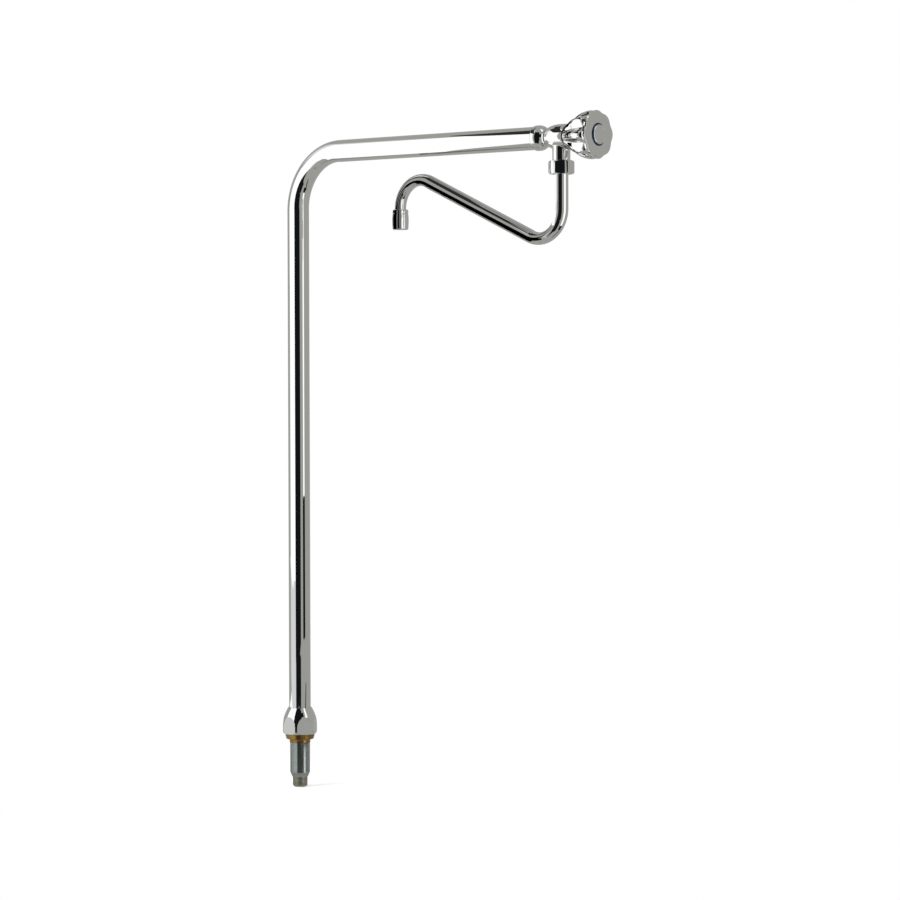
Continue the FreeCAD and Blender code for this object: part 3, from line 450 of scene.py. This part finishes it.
# Mounting shank: steel tube with a fine M28 x 1.5 thread cut along it, zinc plated. It screws
# into the flange body from below.
def threaded(radius, depth, pitch, low, high, place, around=96):
    """Outside thread as one ribbon of turns between two heights."""
    crest_to_root = [0.0, 0.0, 0.0, 0.0, 0.5, 1.0, 1.0, 0.5]
    cuts = len(crest_to_root)
    rows = int((high - low) / pitch + 2) * cuts
    points, faces = [], []
    for row in range(rows + 1):
        for step in range(around + 1):
            height = low + pitch * (row / cuts - 1 + step / around)
            reach = radius - depth * crest_to_root[row % cuts]
            angle = 2 * math.pi * step / around
            height = min(max(height, low), high)
            points.append(place(reach * math.cos(angle), reach * math.sin(angle), height))
    for row in range(rows):
        for step in range(around):
            here = row * (around + 1) + step
            faces.append([here, here + 1, here + around + 2, here + around + 1])
    return points, faces


# Zinc plated steel: a cool mid grey. The plating is uneven over some millimetres, and it softens
# what the thread's turns mirror into upright grey bands.
plating_cloud = 8.3
steel = empty_material("zinc_plated_steel")
steel_place = add_node(steel.node_tree, "TexCoord", {})
steel_noise = add_node(steel.node_tree, "TexNoise", {
    "Vector": (steel_place, "Object"), "Scale": 1000 / plating_cloud, "Detail": 5.0, "Roughness": 0.6,
})
steel_tone = add_node(steel.node_tree, "ValToRGB", {"Fac": (steel_noise, "Fac")})
steel_tone.color_ramp.elements[0].color = linear("#A2A9A8")
steel_tone.color_ramp.elements[1].color = linear("#B4BAB7")
steel_gloss = add_node(
    steel.node_tree, "MapRange", {"Value": (steel_noise, "Fac"), "To Min": 0.1, "To Max": 0.18}
)
steel_surface = add_node(steel.node_tree, "BsdfPrincipled", {
    "Base Color": (steel_tone, "Color"), "Metallic": 1.0, "Roughness": (steel_gloss, "Result"),
})
add_node(steel.node_tree, "OutputMaterial", {"Surface": (steel_surface, 0)})

shank = mesh_piece("mounting_shank_threaded", [
    threaded(radius=14.0, depth=0.4, pitch=1.5, low=-46.5, high=-5.0, place=on_pillar),
    turned([
        (bore, 6.9), (11.4, 6.9), (11.4, -5.0), (13.55, -5.0), (13.55, -46.3), (13.9, -46.5),
        (11.2, -52.8), (bore, -52.8),
    ], on_pillar),
])
finish_piece(shank, steel, "base", "mounting_shank")


# Inlet tail: nickel plated brass nipple with a half-inch pipe thread for the supply, with a
# relief between thread and shank.
def worn_material(name, dull, bright, gloss, metal=0.0, cloud=7.1):
    """Even material, clouded a little between two colours, in clouds of that width in mm."""
    material = empty_material(name)
    tree = material.node_tree
    place = add_node(tree, "TexCoord", {})
    noise = add_node(tree, "TexNoise", {"Vector": (place, "Object"), "Scale": 1000 / cloud, "Detail": 4.0})
    tone = add_node(tree, "ValToRGB", {"Fac": (noise, "Fac")})
    tone.color_ramp.elements[0].color = linear(dull)
    tone.color_ramp.elements[1].color = linear(bright)
    surface = add_node(
        tree, "BsdfPrincipled", {"Base Color": (tone, "Color"), "Metallic": metal, "Roughness": gloss}
    )
    add_node(tree, "OutputMaterial", {"Surface": (surface, 0)})
    return material


# Dull nickel plate: a warmer and softer grey than the zinc above it.
nickel = worn_material("dull_nickel_plate", "#A19F92", "#B9B7AA", 0.3, metal=1.0, cloud=6.7)
tail = mesh_piece("inlet_tail_threaded", [
    threaded(radius=10.478, depth=0.6, pitch=1.814, low=-64.9, high=-54.2, place=on_pillar),
    turned([
        (bore, -46.0), (8.98, -46.0), (8.98, -52.8), (9.58, -52.8), (9.58, -54.2), (9.85, -54.2),
        (9.85, -64.9), (10.4, -64.9), (7.98, -67.4), (bore, -67.4),
    ], on_pillar),
])
finish_piece(tail, nickel, "base", "inlet_tail")


# Base nut: brass nut, domed on the lathe, milled to six flats and chrome plated. It screws on
# the flange body and holds the pillar down.
def arc(start, end, radius, steps):
    """Points from start to end on an arc that bulges to the right of the way between them."""
    start, end = Vector(start), Vector(end)
    way = end - start
    right = Vector((way.y, -way.x)).normalized()
    centre = (start + end) / 2 - right * math.sqrt(radius ** 2 - (way.length / 2) ** 2)
    first, last = start - centre, end - centre
    return [tuple(centre + first.slerp(last, step / steps) * radius) for step in range(steps + 1)]


def outward(piece):
    """Turns all faces of a closed form outwards."""
    form = bmesh.new()
    form.from_mesh(piece.data)
    bmesh.ops.recalc_face_normals(form, faces=form.faces)
    form.to_mesh(piece.data)
    form.free()


def milled(piece, flats, turn, low, high, place, edge, crown, cuts=8):
    """Cuts a turned piece to a hexagon, crowned a little as polishing leaves it, and breaks its edges."""
    half_flat = flats / 2 * math.tan(math.pi / 6)
    ring = []
    for side in range(6):
        facing = turn + math.pi / 6 + math.pi / 3 * side
        ahead, aside = math.cos(facing), math.sin(facing)
        for step in range(cuts):
            along = half_flat * (2 * step / cuts - 1)
            out = flats / 2 - along ** 2 / (2 * crown)
            ring.append((out * ahead - along * aside, out * aside + along * ahead))
    count = len(ring)
    sides = [[side, (side + 1) % count, (side + 1) % count + count, side + count] for side in range(count)]
    bar = mesh_piece("hexagon_bar", [(
        [place(x, y, low) for x, y in ring] + [place(x, y, high) for x, y in ring],
        [list(range(count - 1, -1, -1)), list(range(count, 2 * count))] + sides,
    )])
    outward(piece)
    outward(bar)
    cut = piece.modifiers.new("flats", "BOOLEAN")
    cut.operation = "INTERSECT"
    cut.solver = "EXACT"
    cut.object = bar
    bevel = piece.modifiers.new("broken_edges", "BEVEL")
    bevel.width = edge / 1000
    bevel.segments = 3
    bevel.limit_method = "ANGLE"
    bevel.angle_limit = math.radians(25)
    bpy.context.view_layer.update()
    shape = bpy.data.meshes.new_from_object(piece.evaluated_get(bpy.context.evaluated_depsgraph_get()))
    piece.modifiers.clear()
    piece.data = shape
    bpy.data.objects.remove(bar)


# Polished chrome plate: a nearly neutral mirror that shows the cards as hard white, grey and
# black bands. A faint haze in wide patches keeps their edges from looking drawn.
haze_patch = 16.7
chrome = empty_material("polished_chrome_plate")
chrome_place = add_node(chrome.node_tree, "TexCoord", {})
chrome_haze = add_node(chrome.node_tree, "TexNoise", {
    "Vector": (chrome_place, "Object"), "Scale": 1000 / haze_patch, "Detail": 6.0, "Roughness": 0.65,
})
chrome_gloss = add_node(
    chrome.node_tree, "MapRange",
    {"Value": (chrome_haze, "Fac"), "From Min": 0.3, "From Max": 0.7, "To Min": 0.02, "To Max": 0.04},
)
chrome_surface = add_node(chrome.node_tree, "BsdfPrincipled", {
    "Base Color": linear("#DCDDDC"), "Metallic": 1.0, "Roughness": (chrome_gloss, "Result"),
})
add_node(chrome.node_tree, "OutputMaterial", {"Surface": (chrome_surface, 0)})

skirt = (24.4, 12.0)
shoulder = (24.4, 16.0)
nut_outline = (
    [(17.6, 6.7)] + arc((20.8, 6.7), skirt, radius=5.7, steps=8) + [shoulder]
    + arc(shoulder, (16.5, 43.3), radius=51.9, steps=24)[1:]
    + [(16.3, 43.8), (15.9, 44.0), (15.3, 44.0), (15.3, 34.5), (17.6, 34.5)]
)
base_nut = mesh_piece("base_nut_domed", [turned(nut_outline, on_pillar)])
milled(base_nut, flats=44.0, turn=0.0, low=0.0, high=60.0, place=on_pillar, edge=0.5, crown=400.0)
finish_piece(base_nut, chrome, "base", "base_nut", sharp=30)


# Pillar: one brass tube, bent once, polished and chromed. A spigot brazed into its foot turns in
# the base, and its other end carries the valve.
def tube(route, radius, wall, flat, end_radius, around=96, turn_step=1.5):
    """Tube along a flat route of (across, height, bend radius) corners, with its bore.

    The inner side of each bend is pressed in by up to flat. The last bend draws in to the end
    radius.
    """
    stations = []
    bends = [number for number, corner in enumerate(route) if corner[2]]
    for number, (across, height, bend) in enumerate(route):
        here = Vector((across, height))
        if not bend:
            near = Vector(route[1 if number == 0 else number - 1][:2])
            way = (near - here) if number == 0 else (here - near)
            full_reach = radius if number == 0 else end_radius
            stations.append((here, way.normalized(), Vector((0, 0)), full_reach))
            continue
        centre, first, last, sweep = corner_arc(route[number - 1][:2], here, route[number + 1][:2], bend)
        steps = max(2, math.ceil(math.degrees(sweep) / turn_step))
        for step in range(steps + 1):
            spoke = first.slerp(last, step / steps) * bend
            side = Vector((-spoke.y, spoke.x)).normalized()
            way = side if side.dot(last - first) > 0 else -side
            pressed = spoke.normalized() * -flat * math.sin(math.pi * step / steps)
            drawn = step / steps if number == bends[-1] else 0
            stations.append((centre + spoke, way, pressed, radius + (end_radius - radius) * drawn))
    points = []
    bore_back = [(spot, way, pressed, reach - wall) for spot, way, pressed, reach in reversed(stations)]
    for spot, way, pressed, full_reach in stations + bore_back:
        for step in range(around):
            angle = 2 * math.pi * step / around
            inward = max(0, pressed.dot(Vector((-way.y, way.x))) * math.cos(angle))
            reach = full_reach - inward * abs(math.cos(angle))
            across = reach * math.cos(angle)
            points.append((spot.x - way.y * across, reach * math.sin(angle), spot.y + way.x * across))
    return points, ring_faces(len(stations + bore_back), around)


arm_axis = 814.0
pillar_route = [(0.0, 32.5, 0), (0.0, arm_axis, 80.0), (422.0, arm_axis, 0)]
pillar = mesh_piece("pillar_tube_bent", [
    tube(pillar_route, radius=15.0, wall=1.5, flat=2.4, end_radius=15.0)
])
finish_piece(pillar, chrome, "pillar", "pillar_tube")


# Arm collar: turned and chromed plug brazed into the arm's end, waisted down to the nipple that
# the valve is screwed to.
outlet_reach = 462.0


def along_arm(across, aside, height):
    """Place on the arm's axis, heights from the outlet's axis towards the handle."""
    return outlet_reach + height, aside, arm_axis - across


collar_lip = (16.5, -35.0)
collar_outline = (
    rounded([(6.0, -54.0), (13.45, -54.0, 0.5), (13.45, -40.0), (16.5, -40.0, 1.2), collar_lip])
    + arc(collar_lip, (11.2, -24.4), radius=13.3, steps=12)[1:]
    + [(10.8, -24.0), (8.0, -24.0), (8.0, -13.0), (6.0, -13.0)]
)
collar = mesh_piece("arm_collar_turned", [turned(collar_outline, along_arm)])
finish_piece(collar, chrome, "pillar", "arm_collar")


# Valve body: chromed brass casting. Its barrel swells towards the handle, and the branch to the
# spout leaves it downwards out of a cast fillet.
barrel_radius = 16.3
barrel_sweep = 47.02
barrel_shoulder = -1.0
barrel_end = 12.0
branch_radius = 11.6
branch_fillet = 3.0
fillet_tuck = 0.08


def barrel_offset(height, out):
    """Radius of the barrel's side moved outwards by out, and the foot of that move."""
    centre = barrel_radius - barrel_sweep
    if height >= barrel_shoulder:
        return barrel_radius + out, height, barrel_radius
    rise = math.sqrt((barrel_sweep + out) ** 2 - (height - barrel_shoulder) ** 2)
    share = barrel_sweep / (barrel_sweep + out)
    return centre + rise, barrel_shoulder + (height - barrel_shoulder) * share, centre + rise * share


def branch_form(around=128, steps=10):
    """Skin of the branch, from its fillet on the barrel down to its thread and up its bore.

    Its first ring is tucked a little into the barrel, so that the two forms leave no gap.
    """
    points = []
    shares = [-fillet_tuck] + [step / steps for step in range(steps + 1)]
    ends = [
        (branch_radius, 29.8), (11.2, 30.3), (10.85, 30.3), (10.85, 37.6), (10.4, 38.0), (9.05, 38.0),
        (9.05, 21.0), (6.0, 21.0), (6.0, 10.0),
    ]
    for share in shares:
        for step in range(around):
            angle = 2 * math.pi * step / around
            reach = branch_radius + branch_fillet
            height, aside = reach * math.cos(angle), reach * math.sin(angle)
            outer, foot, inner = barrel_offset(height, branch_fillet)
            drop = math.sqrt(outer ** 2 - aside ** 2)
            ball = Vector((height, aside, -drop))
            on_barrel = Vector((foot, aside * inner / outer, -drop * inner / outer)) - ball
            branch_side = (branch_radius * math.cos(angle), branch_radius * math.sin(angle), -drop)
            on_branch = Vector(branch_side) - ball
            if share < 0:
                spoke = on_barrel.normalized() * 2 - on_barrel.slerp(on_branch, -share)
            else:
                spoke = on_barrel.slerp(on_branch, share)
            spot = ball + spoke * branch_fillet
            points.append((outlet_reach + min(spot.x, barrel_end), spot.y, arm_axis + spot.z))
    for reach, drop in ends:
        for step in range(around):
            angle = 2 * math.pi * step / around
            across, aside = reach * math.cos(angle), reach * math.sin(angle)
            points.append((outlet_reach + across, aside, arm_axis - drop))
    return points, ring_faces(len(shares) + len(ends), around, closed=False)


barrel_outline = (
    [(6.0, -22.4), (11.05, -22.4), (11.05, -23.7), (11.3, -23.9), (11.4, -23.7)]
    + arc((11.4, -21.9), (barrel_radius, barrel_shoulder), barrel_sweep, steps=24)
    + [(barrel_radius, 6.0), (15.95, 11.6), (15.6, barrel_end), (12.8, barrel_end), (12.8, 18.5)]
    + [(10.5, 18.5), (10.5, -3.0), (6.0, -3.0)]
)
valve_body = mesh_piece("valve_body_cast", [turned(barrel_outline, along_arm), branch_form()])
finish_piece(valve_body, chrome, "pillar", "valve_body")


# Handle: zinc casting with eight lobes, chrome plated and polished. Its flutes run out under a
# scalloped face plate, and a screw under the cap holds it on the spindle.
lobe_count = 8
lobe_turn = math.radians(4.0)
lobe_fullness = 0.8
lobe_stations = [
    (12.5, 15.5, 14.7), (22.0, 21.6, 17.8), (32.0, 27.4, 21.4), (43.0, 30.5, 24.4), (52.0, 30.8, 25.8),
    (56.0, 28.6, 25.6),
]
flutes_start = 12.5
flutes_length = 43.5
flute_steps = 58


def smooth_between(stations, height):
    """Crest and flute radii at a height, on a smooth curve through the stations."""
    count = len(stations)
    for number in range(count - 1):
        if height <= stations[number + 1][0] or number == count - 2:
            break
    before, start, end, after = (stations[min(max(number + k, 0), count - 1)] for k in (-1, 0, 1, 2))
    run = end[0] - start[0]
    share = (height - start[0]) / run
    result = []
    for part in (1, 2):
        slope_start = (end[part] - before[part]) / (end[0] - before[0])
        slope_end = (after[part] - start[part]) / (after[0] - start[0])
        radius = (2 * share ** 3 - 3 * share ** 2 + 1) * start[part]
        radius += (share ** 3 - 2 * share ** 2 + share) * run * slope_start
        radius += (3 * share ** 2 - 2 * share ** 3) * end[part]
        radius += (share ** 3 - share ** 2) * run * slope_end
        result.append(radius)
    return result


def lobed(rows, place, around=320):
    """Form of closed waves round an axis: rows of (crest radius, flute radius, height)."""
    points = []
    for crest, flute, height in rows:
        for step in range(around):
            angle = 2 * math.pi * step / around
            wave = (1 + math.cos(lobe_count * (angle - lobe_turn))) / 2
            reach = flute + (crest - flute) * wave ** lobe_fullness
            points.append(place(reach * math.cos(angle), reach * math.sin(angle), height))
    return points, ring_faces(len(rows), around)


casting_rows = []
for step in range(flute_steps + 1):
    height = flutes_start + flutes_length * step / flute_steps
    casting_rows.append((*smooth_between(lobe_stations, height), height))
casting_rows += [
    (30.6, 28.6, 56.0), (30.9, 28.9, 56.1), (31.0, 29.0, 56.4), (31.0, 29.0, 58.7), (30.9, 28.9, 58.95),
    (30.05, 28.05, 59.8), (29.8, 27.8, 59.95), (29.5, 27.5, 60.0),
]
socket_outline = [
    (14.85, 60.0), (14.55, 59.7), (14.55, 57.4), (8.6, 57.4), (8.6, 50.0), (4.1, 50.0), (4.1, 31.65),
    (7.5, 31.65), (7.5, 40.0), (20.0, 40.0), (13.4, 12.5),
]
casting_rows += [(radius, radius, height) for radius, height in socket_outline]
handle = mesh_piece("handle_lobed", [lobed(casting_rows, along_arm)])
finish_piece(handle, chrome, "handle", "handle", sharp=50)


# Index ring: ring moulded in blue plastic, the sign for cold water, and pressed into the
# handle's face.
mould_grain = 1.1
mould_grain_depth = 0.03

# Blue moulded plastic: the tap's one strong colour, a deep blue that catches a thin highlight on
# its rounded rim. The mould's grain is drawn a millimetre wide, coarser than it is, to show.
blue = empty_material("blue_moulded_plastic")
blue_place = add_node(blue.node_tree, "TexCoord", {})
blue_grain = add_node(blue.node_tree, "TexNoise", {
    "Vector": (blue_place, "Object"), "Scale": 1000 / mould_grain, "Detail": 2.0,
})
blue_bump = add_node(blue.node_tree, "Bump", {
    "Height": (blue_grain, "Fac"), "Strength": 0.1, "Distance": mould_grain_depth / 1000,
})
blue_surface = add_node(blue.node_tree, "BsdfPrincipled", {
    "Base Color": linear("#08203F"), "Roughness": 0.22, "Specular IOR Level": 0.35,
    "Normal": (blue_bump, "Normal"),
})
add_node(blue.node_tree, "OutputMaterial", {"Surface": (blue_surface, 0)})
index_ring = mesh_piece("index_ring_moulded", [turned(rounded([
    (12.6, 57.4), (14.5, 57.4), (14.5, 60.2, 0.35), (12.6, 60.2, 0.2),
]), along_arm)])
finish_piece(index_ring, blue, "handle", "index_ring")


# Index cap: brass turned on a lathe, polished and chromed. It presses into the handle over the
# screw and stands proud of the ring.
index_cap = mesh_piece("index_cap_turned", [turned(rounded([
    (0.0, 62.2), (12.55, 62.2, 0.9), (12.55, 57.4), (8.4, 57.4), (8.4, 52.5), (0.0, 52.5),
]), along_arm)])
finish_piece(index_cap, chrome, "handle", "index_cap")


# Spout nut: brass hexagon, rounded at both ends on a lathe, bored and chromed. It screws on the
# branch and holds the spout up against it.
def below_outlet(across, aside, drop):
    """Place on the outlet's upright axis, measured down from the arm's axis."""
    return outlet_reach + across, aside, arm_axis - drop


spout_nut = mesh_piece("spout_nut_hexagonal", [turned(rounded([
    (11.0, 30.3), (17.32, 30.3, 4.3), (17.32, 48.3, 4.3), (9.3, 48.3, 0.4), (9.3, 45.0), (11.0, 45.0),
], steps=10), below_outlet)])
milled(
    spout_nut, flats=30.0, turn=math.radians(39), low=20.0, high=60.0, place=below_outlet, edge=0.4,
    crown=60.0,
)
finish_piece(spout_nut, chrome, "pillar", "spout_nut", sharp=30)


# Spout: slim brass tube, bent twice, drawn in a little at its tip and chromed. It swivels in the
# branch below the valve.
nozzle_across = outlet_reach - 274.0
spout_route = [
    (outlet_reach, arm_axis - 41.0, 0), (outlet_reach, arm_axis - 149.0, 37.0),
    (nozzle_across, arm_axis - 26.0, 37.5), (nozzle_across, arm_axis - 94.6, 0),
]
spout = mesh_piece("spout_tube_bent", [
    tube(spout_route, radius=9.0, wall=1.2, flat=2.6, end_radius=7.7)
])
finish_piece(spout, chrome, "spout", "spout_tube")


# Ferrule: brass collar, turned on a lathe and chromed. It is brazed on the spout's end to take
# the aerator.
def at_nozzle(across, aside, drop):
    """Place on the nozzle's upright axis, measured down from the arm's axis."""
    return nozzle_across + across, aside, arm_axis - drop


ferrule_lip = (9.4, 83.99)
ferrule_outline = (
    [(7.75, 83.99), ferrule_lip] + arc(ferrule_lip, (10.6, 86.7), radius=4.2, steps=6)[1:]
    + [(10.6, 89.0), (7.75, 89.0)]
)
ferrule = mesh_piece("aerator_ferrule_turned", [turned(ferrule_outline, at_nozzle)])
finish_piece(ferrule, chrome, "spout", "aerator_ferrule")


# Aerator: brass housing, turned with a slightly bulging side and chromed. It screws in below
# the ferrule, round a white plastic insert that mixes air into the water.
housing_heel = (10.5, 109.5)
housing_outline = (
    [(9.0, 89.4), (10.2, 89.4)] + arc((10.5, 89.7), housing_heel, radius=98.2, steps=10)
    + arc(housing_heel, (8.9, 111.1), radius=1.6, steps=6)[1:]
    + [(8.6, 111.0), (8.6, 109.6), (9.2, 109.6), (9.2, 96.0), (9.0, 96.0)]
)
housing = mesh_piece("aerator_housing_turned", [turned(housing_outline, at_nozzle)])
finish_piece(housing, chrome, "spout", "aerator_housing")


# Inner parts: seals, slide rings, screws, spindle and plunger keep their CAD forms, because only
# their edges show. They take their own materials in place.
def dressed(material, *names):
    """Gives CAD nodes that stay in view their material. Their forms stay as they are."""
    for name in names:
        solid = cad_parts[name].data
        solid.materials.clear()
        solid.materials.append(material)


# Satin stainless steel: a soft cool grey sheen on the screws' heads.
stainless = worn_material("satin_stainless_steel", "#9C9D9B", "#B5B6B4", 0.24, metal=1.0)
# Natural nylon: warm milky white with a dull shine, at the slide and retaining rings.
nylon = worn_material("natural_nylon", "#DCD6C4", "#E9E4D2", 0.42)
# Black nitrile rubber: near black and matt, at the sealing rings and washers.
rubber = worn_material("black_nitrile_rubber", "#161617", "#222223", 0.62)
# White plastic: the clean white of the aerator's insert, seen from below.
white_plastic = worn_material("white_moulded_plastic", "#E4E5E4", "#F2F2F1", 0.3)
dressed(brass, "pillar_spigot", "headwork", "spindle", "valve_plunger", "spout_bush")
dressed(stainless, "handle_screw", "washer_screw")
dressed(
    nylon, "base_slide_ring", "base_retaining_ring", "inlet_washer", "headwork_gasket",
    "spout_slide_ring", "spout_retaining_ring",
)
dressed(rubber, "spigot_o_rings", "spindle_o_rings", "seat_washer", "spout_o_rings", "aerator_gasket")
dressed(white_plastic, "aerator_insert")


# Light for single pieces: the white and left-hand cards leave out the spout and its nozzle, and
# the left-hand ones also the handle and collar, which all mirror black there, as behind a flag.
def leave_out(name, cards, *held_back):
    """Those cards look black to the pieces held back."""
    group = bpy.data.collections.new(name)
    for piece in held_back:
        group.objects.link(piece)
    for held in group.collection_objects:
        held.light_linking.link_state = "EXCLUDE"
    for card in cards:
        card.light_linking.receiver_collection = group


def glow_for(name, cards, *lit):
    """Those cards shine on these pieces alone."""
    group = bpy.data.collections.new(name)
    for piece in lit:
        group.objects.link(piece)
    for card in cards:
        card.light_linking.receiver_collection = group


def sheer(name, color, level):
    """Paper that glows on its front, and lets what stands behind it through."""
    sheet = paper(name, color, level)
    tree = sheet.node_tree
    glow = tree.nodes["Emission"]
    side = add_node(tree, "NewGeometry", {})
    front = add_node(tree, "Math", {0: 1.0, 1: (side, "Backfacing")}, operation="SUBTRACT")
    strength = add_node(tree, "Math", {0: (front, 0), 1: level}, operation="MULTIPLY")
    tree.links.new(strength.outputs[0], glow.inputs["Strength"])
    clear = add_node(tree, "BsdfTransparent", {})
    both = add_node(tree, "AddShader", {0: (glow, 0), 1: (clear, 0)})
    tree.links.new(both.outputs[0], tree.nodes["Material Output"].inputs["Surface"])
    return sheet


# Sheer papers stand in for those cards on the spout and give it its grey sides. A narrow one
# close to its inlet gives the white line down its edge.
sheer_grey = sheer("sheer_grey_paper", "#B1B1AD", 1.0)
sheer_dim = sheer("sheer_dim_paper", "#7B7B78", 1.0)
sheer_white = sheer("sheer_white_paper", "#FFFFFF", 1.0)
leave_out(
    "screened_from_white_card", white_cards + over_spout_cards + [near_white_card, left_card_high],
    spout, ferrule, housing
)
leave_out("screened_from_left_cards", left_cards, handle, collar, ferrule, housing, spout)
sheer_near = (5, -679)
sheer_far = (-1300, -659)
sheer_corner = (-2090, 0)
sheer_low = 850
sheer_split = 1480
glow_for("lit_for_spout", (
    upright_card("spout_card_high", sheer_near, sheer_far, 780, sheer_split, sheer_grey),
    upright_card("spout_card_upper", sheer_near, sheer_far, sheer_split, 1800, sheer_dim),
    upright_card("spout_card_side", sheer_far, sheer_corner, sheer_low, sheer_split, sheer_grey),
    upright_card("spout_card_back", sheer_corner, (-1690, 1490), sheer_low, room_high, sheer_grey),
    upright_card("spout_card_inlet", (455, -14), (446, 10), 700, 766, sheer_white),
), spout)

# A folded card before the nozzle gives it and the spout's lower bend their bright strips.
near_nozzle = 240.0
fold_low = 600
fold_right, fold_middle, fold_left = [
    bearing(angle, near_nozzle, nozzle_across) for angle in (-15, -35, -69)
]
glow_for("lit_for_nozzle", (
    add_panels(
        "nozzle_card",
        (upright(fold_right, fold_middle, fold_low, 1050), sheer_white),
        (upright(fold_middle, fold_left, fold_low, 850), sheer_dim),
    ),
), spout, ferrule, housing)
